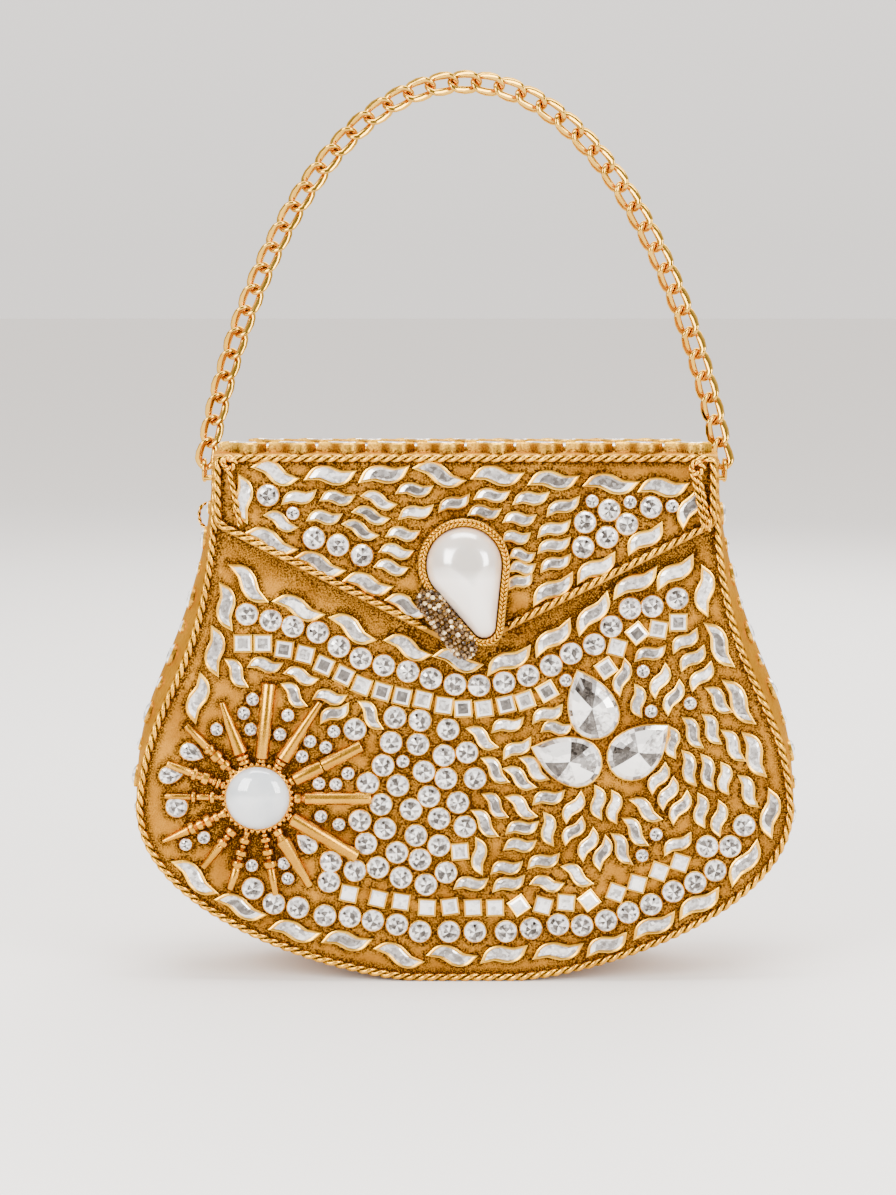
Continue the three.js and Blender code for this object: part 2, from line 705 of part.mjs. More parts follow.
// The small wire loop on the left side, whose feet stand on the gusset.
function sideLoop() {
  const standOut = (z) => sideAt(z) + gussetOut + swell(z, 0) + fitGap;
  const wall = (z) => -Math.max(standOut(z - sideLoopWire), standOut(z + sideLoopWire));
  const low = sideLoopHeight - sideLoopHalfSpan;
  const high = sideLoopHeight + sideLoopHalfSpan;
  const reach = (sideLoopReach * 4) / 3;
  const bowed = new THREE.CubicBezierCurve3(
    new THREE.Vector3(wall(low), 0, low),
    new THREE.Vector3(wall(low) - reach, 0, low),
    new THREE.Vector3(wall(high) - reach, 0, high),
    new THREE.Vector3(wall(high), 0, high),
  );
  return tube(bowed, sideLoopWire, 10, 3);
}

// Body
place("front_panel", frontPanel(), antiqueGold);
place("back_panel", backPanel(), antiqueGold);
place("side_gusset", gusset(), satinGold);
place("lining", lining(), satinCloth);
const edgeCord = (depth) => tube(new PathAtDepth(outline, depth), cordRadius, cordSteps, cordSides);
place("front_edge_cord", edgeCord(-halfDepth), cordGold);
place("back_edge_cord", edgeCord(halfDepth), cordGold);

// Sunburst stone, domed, seated inside its bezel
const dome = [[0, 0], [1, 0], [1, 0.15], [0.92, 0.45], [0.72, 0.75], [0.4, 0.94], [0, 1]];
const domeGeometry = lathe(dome.map(([r, h]) => [r * cabochonRadius, h * cabochonHeight]), 24);
const cabochon = place("burst_cabochon", domeGeometry, moonstone);
cabochon.rotation.x = Math.PI;
const cabochonBack = faceAt(burstX - cabochonRadius * Math.sign(burstX), burstHeight) - fitGap;
cabochon.position.set(burstX, cabochonBack, burstHeight);

// Flap and hinge
place("flap", flap(), antiqueGold);
const pinGeometry = barAlongX(hingePinRadius, -hingeHalfLength - 1, hingeHalfLength + 1, hingeY, hingeZ, 10);
place("hinge_pin", pinGeometry, steel);
const flapCord = new PathAtDepth(flapCordPath(), apronOuter - fitGap - cordRadius);
place("flap_edge_cord", tube(flapCord, cordRadius, flapCordSteps, cordSides), cordGold);

// Clasp
place("clasp_frame", claspFrame(), cordGold);
const pearl = place("clasp_pearl", pearlGeometry(), pearlSkin);
pearl.position.set(pearlAcross, apronOuter - 2 * fitGap - claspFloor, flapTip + pearlUp);

// Snap: the stud's flange lies under the apron. Its nose enters the socket, which stands in the panel's hole.
const snapZ = flapTip + snapUp;
const socketFace = apronInner + fitGap + studFlange + fitGap;
const noseEnd = studFlange + fitGap + noseDepth;
const studProfile = [
  [0, 0], [studFlangeRadius, 0], [studFlangeRadius, studFlange], [studRadius, studFlange],
  [studRadius * studTaper, noseEnd], [0, noseEnd],
];
const stud = place("snap_stud", lathe(studProfile, 18), steel);
stud.position.set(0, apronInner + fitGap, snapZ);
const plateFront = -(panelInner + bow(0, snapZ)) + 2 * fitGap - socketFace;
const plateBack = plateFront + snapBackPlate;
const plateRadius = snapRadius + snapPlateLip;
const socketProfile = [
  [0, noseDepth + fitGap], [studRadius + studPlay, noseDepth + fitGap], [studRadius + studPlay, 0],
  [snapRadius, 0], [snapRadius, plateFront], [plateRadius, plateFront], [plateRadius, plateBack],
  [0, plateBack],
];
const socket = place("snap_socket", lathe(socketProfile, 24), steel);
socket.position.set(0, socketFace, snapZ);

// Handle
for (const side of [-1, 1]) {
  const ring = place(side < 0 ? "side_ring_left" : "side_ring_right", sideRing(side), chainGold);
  ring.position.set(side * ringX, ringY, ringZ);
}
bag.add(handle());
place("side_loop", sideLoop(), cordGold);

export default bag;
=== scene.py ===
import json
import random
from math import acos, atan2, ceil, cos, dist, hypot, pi, radians, sin

import bpy
from mathutils import Matrix, Vector
from mathutils.kdtree import KDTree

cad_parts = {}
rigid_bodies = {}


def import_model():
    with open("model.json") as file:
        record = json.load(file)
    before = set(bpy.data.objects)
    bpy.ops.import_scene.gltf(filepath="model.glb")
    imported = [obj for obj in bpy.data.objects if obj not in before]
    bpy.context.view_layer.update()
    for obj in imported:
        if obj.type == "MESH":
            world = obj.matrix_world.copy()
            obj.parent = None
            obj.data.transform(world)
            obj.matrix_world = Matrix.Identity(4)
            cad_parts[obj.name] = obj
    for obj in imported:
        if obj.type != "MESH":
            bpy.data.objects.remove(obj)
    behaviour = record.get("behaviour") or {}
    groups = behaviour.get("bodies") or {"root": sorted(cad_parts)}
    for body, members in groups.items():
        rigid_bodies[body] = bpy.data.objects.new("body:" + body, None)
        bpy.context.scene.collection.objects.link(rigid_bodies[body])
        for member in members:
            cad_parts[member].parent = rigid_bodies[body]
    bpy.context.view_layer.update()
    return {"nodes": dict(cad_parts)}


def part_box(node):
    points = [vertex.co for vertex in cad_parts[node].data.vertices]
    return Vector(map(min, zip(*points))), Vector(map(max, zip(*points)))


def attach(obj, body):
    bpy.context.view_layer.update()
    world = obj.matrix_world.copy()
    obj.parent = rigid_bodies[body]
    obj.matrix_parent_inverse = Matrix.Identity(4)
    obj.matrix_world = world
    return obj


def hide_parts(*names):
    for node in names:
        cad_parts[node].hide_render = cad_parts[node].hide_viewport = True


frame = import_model()

# The viewpoint: a long lens a little above the bag's shoulders, looking slightly down on its front.
# The same values turn a pixel of the picture into a place on the bag further on.
eye = Vector((-0.0052, -0.8925, 0.2241))
eye_tilt = radians(6.94)
focal_pixels = 2898
picture_middle = (448, 597.5)
lens = bpy.data.cameras.new("viewpoint")
lens.sensor_fit = "VERTICAL"
lens.sensor_height = 36
lens.lens = lens.sensor_height * focal_pixels / (2 * picture_middle[1])
lens.clip_start = 0.02
viewpoint = bpy.data.objects.new("viewpoint", lens)
viewpoint.location = eye
viewpoint.rotation_euler = (pi / 2 - eye_tilt, 0, 0)
bpy.context.collection.objects.link(viewpoint)
bpy.context.scene.camera = viewpoint


# The studio: a pale floor of matt paper under two soft boxes, which draw the two bright windows on the pearl,
# a long strip of light over the chain, and a weak one behind for the back of the bag.
def begin(name, primitive, **size):
    bpy.ops.object.select_all(action="DESELECT")
    primitive(**size)
    piece = bpy.context.object
    piece.name = piece.data.name = name
    return piece


def set_sockets(shader, **values):
    """Sets inputs by their names, written with _ for a space."""
    for name, value in values.items():
        shader.inputs[name.replace("_", " ")].default_value = value


def finish_with(name, colour, roughness, metallic=0.0):
    finish = bpy.data.materials.new(name)
    finish.use_nodes = True
    shader = finish.node_tree.nodes["Principled BSDF"]
    set_sockets(shader, Base_Color=(*colour, 1), Roughness=roughness, Metallic=metallic)
    return finish, finish.node_tree.nodes, finish.node_tree.links, shader


floor = begin("floor", bpy.ops.mesh.primitive_grid_add, size=16, x_subdivisions=4, y_subdivisions=4)
paper, nodes, links, shader = finish_with("studio paper", (0.82, 0.795, 0.77), 0.85)
floor.data.materials.append(paper)

bag_middle = Vector((0, 0, 0.1))


def soft_box(name, place, width, height, power, tint=(1, 1, 1)):
    light = bpy.data.lights.new(name, "AREA")
    light.shape = "RECTANGLE"
    light.size, light.size_y = width, height
    light.energy = power
    light.color = tint
    lamp = bpy.data.objects.new(name, light)
    lamp.location = place
    lamp.rotation_euler = (bag_middle - Vector(place)).to_track_quat("-Z", "Y").to_euler()
    bpy.context.collection.objects.link(lamp)


soft_box("left_box", (-0.72, -0.86, 0.62), width=0.6, height=0.74, power=27, tint=(1, 0.985, 0.96))
soft_box("right_box", (0.86, -0.75, 0.5), width=0.48, height=0.68, power=20, tint=(1, 0.99, 0.98))
soft_box("top_strip", (0, -0.1, 1.15), width=1.0, height=0.35, power=15)
soft_box("back_box", (0.3, 0.95, 0.75), width=0.9, height=0.6, power=12)

world = bpy.data.worlds.new("studio")
world.use_nodes = True
bpy.context.scene.world = world
sky, wires = world.node_tree.nodes, world.node_tree.links
where = sky.new("ShaderNodeTexCoord")
split = sky.new("ShaderNodeSeparateXYZ")
wires.new(where.outputs["Generated"], split.inputs[0])


def ramp(nodes, links, source, stops):
    colours = nodes.new("ShaderNodeValToRGB")
    while len(colours.color_ramp.elements) < len(stops):
        colours.color_ramp.elements.new(0.5)
    for element, (position, colour) in zip(colours.color_ramp.elements, stops):
        element.position = position
        element.color = (*colour, 1)
    links.new(source, colours.inputs[0])
    return colours


def mix(nodes, links, amount, a, b, kind="MIX"):
    blended = nodes.new("ShaderNodeMix")
    blended.data_type = "RGBA"
    blended.blend_type = kind
    for socket, value in ((0, amount), (6, a), (7, b)):
        if hasattr(value, "is_linked"):
            links.new(value, blended.inputs[socket])
        else:
            blended.inputs[socket].default_value = value
    return blended.outputs[2]


def calculate(nodes, links, operation, *values, clamp=False):
    step = nodes.new("ShaderNodeMath")
    step.operation = operation
    step.use_clamp = clamp
    for socket, value in zip(step.inputs, values):
        if hasattr(value, "is_linked"):
            links.new(value, socket)
        else:
            socket.default_value = value
    return step.outputs[0]


def sky_shade(axis, stops):
    """A grey that changes with the direction along one axis, which runs from -1 to 1."""
    share = calculate(sky, wires, "MULTIPLY_ADD", split.outputs[axis], 0.5, 0.5)
    return ramp(sky, wires, share, stops).outputs[0]


behind = sky_shade("Y", [(0.2, (0.2, 0.19, 0.18)), (0.5, (0.56, 0.54, 0.52)), (0.8, (1, 0.945, 0.9))])
above = sky_shade("Z", [(0.5, (0.6, 0.6, 0.6)), (0.72, (1, 1, 1)), (1, (1.25, 1.25, 1.25))])
wires.new(mix(sky, wires, 1, behind, above, "MULTIPLY"), sky["Background"].inputs["Color"])
sky["Background"].inputs["Strength"].default_value = 2.4

# The body's bell shaped outline, which both pressed faces, the side band, the cords and the lining follow.
# Its right half is two curves, from the flat foot to the mouth, and its left half is their mirror image. These
# sizes, and every other one that is multiplied by MM, are in millimetres.
MM = 0.001
mouth_height, mouth_half, widest_half, widest_height, foot_half, foot_height = 160, 75, 98.9, 56, 14, 1.3
right_side = [
    [(foot_half, foot_height), (35.225, foot_height), (101.9, 20.445), (widest_half, widest_height)],
    [(widest_half, widest_height), (95.9, 92.4), (mouth_half, 92.4), (mouth_half, mouth_height)],
]


def bezier(a, b, c, d, steps=120):
    drawn = []
    for step in range(steps + 1):
        t = step / steps
        k = ((1 - t) ** 3, 3 * t * (1 - t) ** 2, 3 * t * t * (1 - t), t**3)
        drawn.append(Vector([sum(k[j] * p[i] for j, p in enumerate((a, b, c, d))) for i in range(len(a))]))
    return drawn


def evenly(path, count):
    """The path's points spaced evenly along it, count of them, and its length."""
    run = [0.0]
    for a, b in zip(path, path[1:]):
        run.append(run[-1] + (b - a).length)
    spaced, at = [], 0
    for step in range(count):
        goal = run[-1] * step / (count - 1)
        while at < len(path) - 2 and run[at + 1] < goal:
            at += 1
        span = run[at + 1] - run[at]
        spaced.append(path[at].lerp(path[at + 1], (goal - run[at]) / span if span else 0))
    return spaced, run[-1]


def heading_at(path, i):
    return (path[min(i + 1, len(path) - 1)] - path[max(i - 1, 0)]).normalized()


def side_line(count, inset):
    """The outline's right half from the foot to the mouth, moved inwards by inset."""
    path = evenly(bezier(*right_side[0]) + bezier(*right_side[1])[1:], count)[0]
    line = []
    for i, point in enumerate(path):
        along = heading_at(path, i) if i else Vector((1, 0))
        line.append(point + Vector((-along.y, along.x)) * inset)
    return line


most_bow = 1.4


def bow(x, z):
    """How far a pressed face stands out at a place, all in millimetres."""
    return most_bow * (1 - (x / widest_half) ** 2) * (1 - (2 * z / mouth_height - 1) ** 2)


def bell_sheet(name, columns, rows, inset, depth, front=True, bowed=True):
    """A grid drawn out to the outline, as the sheet is pressed over its die."""
    sheet = begin(name, bpy.ops.mesh.primitive_grid_add, size=2, x_subdivisions=columns, y_subdivisions=rows)
    line = side_line(rows + 1, inset)
    for vertex in sheet.data.vertices:
        edge = line[round((vertex.co.y + 1) / 2 * rows)]
        x, z = vertex.co.x * edge.x, edge.y
        y = depth + (bow(x, z) if bowed else 0)
        vertex.co = Vector((x, -y, z) if front else (-x, y, z)) * MM
    return sheet


def turn_in_edge(sheet, move):
    """The sheet's open edge is bent round towards the inside of the bag."""
    bpy.ops.object.mode_set(mode="EDIT")
    bpy.ops.mesh.select_mode(type="EDGE")
    bpy.ops.mesh.select_all(action="DESELECT")
    bpy.ops.mesh.select_non_manifold()
    bpy.ops.mesh.extrude_edges_move(TRANSFORM_OT_translate={"value": move})
    bpy.ops.object.mode_set(mode="OBJECT")


def pick(*pieces):
    bpy.ops.object.select_all(action="DESELECT")
    for piece in pieces:
        piece.select_set(True)
    bpy.context.view_layer.objects.active = pieces[0]


def face_out(piece, gap=0.0):
    """Merges the points that lie within the gap, then turns every face outwards."""
    pick(piece)
    bpy.ops.object.mode_set(mode="EDIT")
    bpy.ops.mesh.select_all(action="SELECT")
    if gap:
        bpy.ops.mesh.remove_doubles(threshold=gap)
    bpy.ops.mesh.normals_make_consistent(inside=False)
    bpy.ops.object.mode_set(mode="OBJECT")


def smooth(piece, angle=40):
    pick(piece)
    bpy.ops.object.shade_smooth_by_angle(angle=radians(angle))


def apply_modifier(piece, kind, **settings):
    pick(piece)
    modifier = piece.modifiers.new(kind.lower(), kind)
    for key, value in settings.items():
        setattr(modifier, key, value)
    bpy.ops.object.modifier_apply(modifier=modifier.name)


def join(name, parts):
    pick(*parts)
    if len(parts) > 1:
        bpy.ops.object.join()
    parts[0].name = parts[0].data.name = name
    return parts[0]


# The pressed front: a bowed sheet of gilt brass, chased all over with a fine matt grain. Once the settings are on,
# a dark brown, partly patina and partly painted shade, is laid beside each setting and kept off the open ground.
front_face = 24.45
front_ground = bell_sheet("front_ground", columns=240, rows=204, inset=0.9, depth=front_face)
turn_in_edge(front_ground, (0, 0.0008, 0))
front_plate = bell_sheet("front_plate", columns=24, rows=28, inset=1.7, depth=24.3)
apply_modifier(front_plate, "SOLIDIFY", thickness=0.00105, offset=-1)


def link_noise(nodes, links, scale, detail, where, kind="ShaderNodeTexNoise"):
    texture = nodes.new(kind)
    texture.inputs["Scale"].default_value = scale
    if "Detail" in texture.inputs:
        texture.inputs["Detail"].default_value = detail
    links.new(where.outputs["Object"], texture.inputs["Vector"])
    return texture


def read_attribute(nodes, name):
    attribute = nodes.new("ShaderNodeAttribute")
    attribute.attribute_name = name
    return attribute.outputs["Fac"]


def roughen(nodes, links, shader, height, strength, distance):
    bump = nodes.new("ShaderNodeBump")
    set_sockets(bump, Strength=strength, Distance=distance)
    links.new(height, bump.inputs["Height"])
    links.new(bump.outputs[0], shader.inputs["Normal"])


cloud_scale, warm_edge = 90, (0.9, 0.62, 0.28, 1)


def gilt(name, deep, low, high, rough, grain, depth, even_patina=0.0, speckle=3.0):
    """Gold with a cloudy tone from low to high, a fine grain of that scale and depth, and a dark brown, partly patina
    and partly painted shade, as deep as the piece's attribute says. rough is the bare gold's and the dark brown's."""
    finish, nodes, links, shader = finish_with(name, high, rough[0], 1)
    where = nodes.new("ShaderNodeTexCoord")
    clouds = link_noise(nodes, links, cloud_scale, 4, where)
    grains = link_noise(nodes, links, grain, 3, where)
    pits = link_noise(nodes, links, grain * 0.9, 1, where, "ShaderNodeTexVoronoi")
    tone = ramp(nodes, links, clouds.outputs[0], [(0.3, low), (0.68, high)])
    set_sockets(shader, Specular_Tint=warm_edge)
    specks = calculate(nodes, links, "MULTIPLY_ADD", grains.outputs[0], speckle, -0.5 * speckle)
    # The piece's attribute plus an even amount: patina together with painted shade in hollows and beside raised parts.
    patina_shade_depth = calculate(nodes, links, "ADD", read_attribute(nodes, "patina_and_shade"), even_patina)
    reach = calculate(nodes, links, "MULTIPLY_ADD", patina_shade_depth, 0.8, 0.25)
    held = calculate(nodes, links, "MULTIPLY_ADD", specks, reach, patina_shade_depth, clamp=True)
    links.new(mix(nodes, links, held, tone.outputs[0], (*deep, 1)), shader.inputs["Base Color"])
    matt = calculate(nodes, links, "MULTIPLY_ADD", held, rough[1] - rough[0], rough[0])
    sheen = calculate(nodes, links, "MULTIPLY_ADD", grains.outputs[0], 0.14, -0.07)
    links.new(calculate(nodes, links, "ADD", matt, sheen, clamp=True), shader.inputs["Roughness"])
    relief = calculate(nodes, links, "MULTIPLY_ADD", pits.outputs["Distance"], 0.6, grains.outputs[0])
    roughen(nodes, links, shader, relief, 0.9, depth)
    return finish


ground_gold = gilt(
    "matt antique gold", deep=(0.045, 0.015, 0.002), low=(0.30, 0.118, 0.008), high=(0.50, 0.222, 0.018),
    rough=(0.42, 0.7), grain=2200, depth=0.00016, speckle=4.6,
)
front_ground = join("front_ground", [front_ground, front_plate])
front_ground.data.materials.append(ground_gold)
smooth(front_ground)
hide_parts("front_panel")
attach(front_ground, "shell")

# The back: the same pressed sheet left plain, with its folded ledge and hinge knuckles behind it.
# The ledge is the frame's own solid with its facets merged, and the grained sheet is soldered over it.
def copied(pattern):
    piece = pattern.copy()
    piece.data = pattern.data.copy()
    bpy.context.collection.objects.link(piece)
    return piece


def merged_copy(node, name, finish, body):
    piece = copied(frame["nodes"][node])
    piece.parent = None
    piece.matrix_world = Matrix.Identity(4)
    piece.name = piece.data.name = name
    piece.hide_render = piece.hide_viewport = False
    face_out(piece, 0.00001)
    piece.data.materials.clear()
    piece.data.materials.append(finish)
    smooth(piece, 30)
    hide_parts(node)
    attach(piece, body)
    return piece


satin_gold = gilt(
    "satin gold", deep=(0.07, 0.024, 0.003), low=(0.36, 0.16, 0.014), high=(0.52, 0.25, 0.028),
    rough=(0.5, 0.65), grain=900, depth=0.00008, even_patina=0.08,
)
merged_copy("back_panel", "back_plate", satin_gold, "shell")
back_ground = bell_sheet("back_ground", columns=120, rows=110, inset=1.6, depth=24.55, front=False)
turn_in_edge(back_ground, (0, -0.0006, 0))
back_ground.data.materials.append(ground_gold)
smooth(back_ground)
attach(back_ground, "shell")

# The side band: one strip of satin gold sheet that runs down one side, under the bag and up the other. It
# swells where the bag is widest, and is soldered to both faces behind the cords.
def full_outline(count):
    left = [Vector((-p.x, p.y)) for p in reversed(bezier(*right_side[0]) + bezier(*right_side[1])[1:])]
    right = [Vector((-p.x, p.y)) for p in reversed(left)]
    return evenly(left + right, count)[0]


band_half, band_rows, band_columns = 22.95, 240, 14
swell_most, swell_height, swell_below, swell_above = 5, 98, 65, 75
outline_points = full_outline(band_rows + 1)


def swell(z, y):
    away = (swell_height - z) / swell_below if z < swell_height else (z - swell_height) / swell_above
    return swell_most * cos(min(away, 1) * pi / 2) ** 2 * (1 - (y / band_half) ** 2)


def band_point(at, y, lift=0.0):
    point, along = outline_points[at], heading_at(outline_points, at)
    out = foot_height + swell(point.y, y) + lift
    return Vector((point.x + along.y * out, y, point.y - along.x * out)) * MM


side_band = begin(
    "side_band", bpy.ops.mesh.primitive_grid_add, size=2, x_subdivisions=band_columns, y_subdivisions=band_rows
)
for vertex in side_band.data.vertices:
    at = round((vertex.co.y + 1) / 2 * band_rows)
    vertex.co = band_point(at, -vertex.co.x * band_half)
apply_modifier(side_band, "SOLIDIFY", thickness=0.001, offset=1)
side_band.data.materials.append(satin_gold)
smooth(side_band)
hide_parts("side_gusset")
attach(side_band, "shell")

# The lining: a pocket of brown satin, cut as two bells and a strip, sewn together and glued in under the
# mouth. The cloth is a little slack between its seams.
lining_inset, lining_half, pocket_top, pocket_rows = 0.85, 21.1, 157.6, 60
slack_depth, slack_share, slack_top, slack_fade = 0.55, 0.5, 158, 20
pocket_front = bell_sheet("pocket_front", 40, pocket_rows, lining_inset, lining_half, bowed=False)
pocket_back = bell_sheet("pocket_back", 40, pocket_rows, lining_inset, lining_half, front=False, bowed=False)
pocket_strip = begin(
    "pocket_strip", bpy.ops.mesh.primitive_grid_add, size=2, x_subdivisions=10, y_subdivisions=2 * pocket_rows + 1
)
pocket_line = side_line(pocket_rows + 1, lining_inset)
pocket_round = [Vector((-p.x, p.y)) for p in reversed(pocket_line)] + pocket_line
for vertex in pocket_strip.data.vertices:
    point = pocket_round[round((vertex.co.y + 1) / 2 * (2 * pocket_rows + 1))]
    vertex.co = Vector((point.x, -vertex.co.x * lining_half, point.y)) * MM
lining_pocket = join("lining_pocket", [pocket_front, pocket_back, pocket_strip])
for vertex in lining_pocket.data.vertices:
    x, y, z = (value / MM for value in vertex.co)
    vertex.co.z = min(z, pocket_top) * MM
    slack = 0.5 * sin(x * 0.11 + z * 0.05) * sin(z * 0.09 - x * 0.03) + 0.3 * sin(x * 0.27 - z * 0.19)
    if abs(y) > lining_half - 0.01:
        inner = max(0.0, min(1.0, (lining_half * 0.9 - abs(x) * 0.16) / lining_half))
        inner *= min(1, (slack_top - z) / slack_fade)
        vertex.co.y -= (1 if y > 0 else -1) * (slack_depth + slack * slack_share) * inner * MM
face_out(lining_pocket, 0.0001)
apply_modifier(lining_pocket, "SOLIDIFY", thickness=0.0005, offset=-1)


def colour_by(nodes, links, shader, source, stops):
    links.new(ramp(nodes, links, source, stops).outputs[0], shader.inputs["Base Color"])


satin, nodes, links, shader = finish_with("brown lining satin", (0.19, 0.10, 0.04), 0.42)
where = nodes.new("ShaderNodeTexCoord")
weave = nodes.new("ShaderNodeTexWave")
weave.inputs["Scale"].default_value = 900
weave.bands_direction = "DIAGONAL"
links.new(where.outputs["Object"], weave.inputs["Vector"])
# Painted shade and sheen of folds: the satin's colour goes lighter and darker in soft cloudy patches.
painted_fold_shade = link_noise(nodes, links, 45, 3, where)
colour_by(nodes, links, shader, painted_fold_shade.outputs[0], [(0.3, (0.13, 0.065, 0.025)), (0.7, (0.26, 0.145, 0.06))])
roughen(nodes, links, shader, weave.outputs["Fac"], 0.35, 0.00005)
set_sockets(shader, Sheen_Weight=0.4)
lining_pocket.data.materials.append(satin)
smooth(lining_pocket, 50)
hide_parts("lining")
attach(lining_pocket, "shell")


# The edge cords: two gilt wires laid up into a rope, which covers the joint between a face and the side
# band. Brown patina and painted shade darken each strand's inner side, between the strands, and leave their crowns
# bright.
rope_gold = gilt(
    "rubbed rope gold", deep=(0.045, 0.015, 0.002), low=(0.60, 0.27, 0.015), high=(0.92, 0.48, 0.035),
    rough=(0.26, 0.55), grain=1800, depth=0.00002,
)


def write_patina_and_shade(piece, values):
    piece.data.attributes.new("patina_and_shade", "FLOAT", "POINT").data.foreach_set("value", values)


def rope(name, path, strand_radius, reach, lay, sides=8, step=0.0006):
    """Two strands, each as far as reach from a path in an upright plane, that wind round it once in every lay. All
    sizes are in metres."""
    count = max(8, ceil(evenly(path, 2)[1] / step))
    points, length = evenly(path, count)
    across = Vector((0, -1, 0))
    corners, faces, patina_and_shade = [], [], []
    for strand in range(2):
        first = len(corners)
        for i, point in enumerate(points):
            along = heading_at(points, i)
            out = along.cross(across).normalized()
            angle = 2 * pi * (length * i / (count - 1) / lay + strand / 2)
            away = out * cos(angle) + across * sin(angle)
            sideways = -out * sin(angle) + across * cos(angle)
            heading = (along + sideways * (2 * pi * reach / lay)).normalized()
            side = heading.cross(away).normalized()
            for j in range(sides):
                around = 2 * pi * j / sides
                corners.append(point + away * reach + (away * cos(around) + side * sin(around)) * strand_radius)
                # The strand's side towards the rope's middle is darkened: patina with painted shade in the gap between
                # the strands.
                patina_and_shade.append(max(0.0, min(1.0, 0.62 - 0.95 * cos(around))))
        for i in range(count - 1):
            for j in range(sides):
                a = first + i * sides + j
                b = first + i * sides + (j + 1) % sides
                faces.append((a, b, b + sides, a + sides))
        faces.append(tuple(first + j for j in reversed(range(sides))))
        faces.append(tuple(first + (count - 1) * sides + j for j in range(sides)))
    mesh = bpy.data.meshes.new(name)
    mesh.from_pydata(corners, [], faces)
    piece = bpy.data.objects.new(name, mesh)
    bpy.context.collection.objects.link(piece)
    write_patina_and_shade(piece, patina_and_shade)
    piece.data.materials.append(rope_gold)
    face_out(piece)
    smooth(piece, 60)
    return piece


cord_strand, cord_reach, cord_lay = 0.00072, 0.00058, 0.0070
body_half_depth = 24.5
for side, name, node in ((-1, "front_rope", "front_edge_cord"), (1, "back_rope", "back_edge_cord")):
    path = [Vector((point.x, side * body_half_depth, point.y)) * MM for point in full_outline(400)]
    edge_rope = rope(name, path, cord_strand, cord_reach, cord_lay, sides=9)
    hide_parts(node)
    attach(edge_rope, "shell")

# The flap: one folded sheet, a strip over the mouth and a pointed apron in front, with knuckles rolled at its
# back edge. The apron's face is chased as the front is.
merged_copy("flap", "flap_plate", satin_gold, "flap")
flap_half, flap_tip, flap_slope, apron_face, flap_top = 75.4, 102.4, 0.5066, 28.75, 162.35


def apron_edge(x, inset):
    return flap_tip + inset * hypot(1, flap_slope) + flap_slope * abs(x)


ground_inset, ground_lift = 1.3, 0.12
flap_ground = begin("flap_ground", bpy.ops.mesh.primitive_grid_add, size=2, x_subdivisions=200, y_subdivisions=80)
for vertex in flap_ground.data.vertices:
    x = vertex.co.x * (flap_half - ground_inset)
    low = apron_edge(x, ground_inset)
    z = low + (flap_top - 1.2 - low) * (vertex.co.y + 1) / 2
    vertex.co = Vector((x, -apron_face - ground_lift, z)) * MM
turn_in_edge(flap_ground, (0, 0.0005, 0))
flap_ground.data.materials.append(ground_gold)
smooth(flap_ground)
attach(flap_ground, "flap")


def flap_rope_path():
    """From the clasp up the right side, over the top and down the left side, with rounded corners."""
    inset, corner, start, end, depth = 1.4, 2.5, 12.9, -11.8, 30.3
    half = flap_half - inset
    top = flap_top - inset
    low = lambda x: apron_edge(x, inset)
    shoulder = low(half)
    marks = [
        [(start, low(start)), (half - corner, low(half - corner))],
        [(half - corner, low(half - corner)), (half, shoulder), (half, shoulder + corner)],
        [(half, shoulder + corner), (half, top - corner)],
        [(half, top - corner), (half, top), (half - corner, top)],
        [(half - corner, top), (corner - half, top)],
        [(corner - half, top), (-half, top), (-half, top - corner)],
        [(-half, top - corner), (-half, shoulder + corner)],
        [(-half, shoulder + corner), (-half, shoulder), (corner - half, low(half - corner))],
        [(corner - half, low(half - corner)), (end, low(end))],
    ]
    path = []
    for mark in marks:
        mark = [Vector((x, -depth, z)) * MM for x, z in mark]
        if len(mark) == 2:
            path += [mark[0].lerp(mark[1], i / 20) for i in range(20)]
        else:
            a, b, c = mark
            path += [a.lerp(b, i / 10).lerp(b.lerp(c, i / 10), i / 10) for i in range(10)]
    return path + [Vector((end, -depth, low(end))) * MM]


flap_rope = rope("flap_rope", flap_rope_path(), strand_radius=0.0007, reach=0.0006, lay=0.0066, sides=9)
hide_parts("flap_edge_cord")
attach(flap_rope, "flap")

# At the flap's upper corners the rope's loose ends are laid beside it and bound down in a small coil. They are the
# same gilt wires, a little thinner, and are soldered to the apron's face.
def sight(px, py, depth):
    """The place on an upright plane, depth in front of the bag's middle, that a pixel looks at."""
    right = (px - picture_middle[0]) / focal_pixels
    up = (picture_middle[1] - py) / focal_pixels
    ray = Vector((right, cos(eye_tilt) + up * sin(eye_tilt), up * cos(eye_tilt) - sin(eye_tilt)))
    return eye + ray * ((-depth - eye.y) / ray.y)


def on_apron(px, py, lift=ground_lift):
    return sight(px, py, (apron_face + lift) * MM)


end_strand, end_reach, coil_radius, coil_steps = 0.00055, 0.00048, 0.0017, 36
loose_ends = [
    ((697, 470), (705, 498), (709, 531)), ((693, 474), (699, 500), (704, 529)), ((228, 468), (236, 500), (240, 526)),
]
coils = [(697, 468, 1.9), (697, 468, 3.0), (229, 463, 1.9)]
corner_ropes = []
for ends in loose_ends:
    a, b, c = (on_apron(x, y, 1.6) for x, y in ends)
    path = [a.lerp(b, i / 20).lerp(b.lerp(c, i / 20), i / 20) for i in range(21)]
    corner_ropes.append(rope("corner_rope", path, end_strand, end_reach, lay=0.0056))
for x, y, lift in coils:
    turns = [2 * pi * i / coil_steps for i in range(coil_steps - 1)]
    path = [on_apron(x, y, lift) + Vector((cos(turn), 0, sin(turn))) * coil_radius for turn in turns]
    corner_ropes.append(rope("corner_coil", path, end_strand, end_reach, lay=0.0035, step=0.0004))
corner_ropes = join("corner_ropes", corner_ropes)
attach(corner_ropes, "flap")

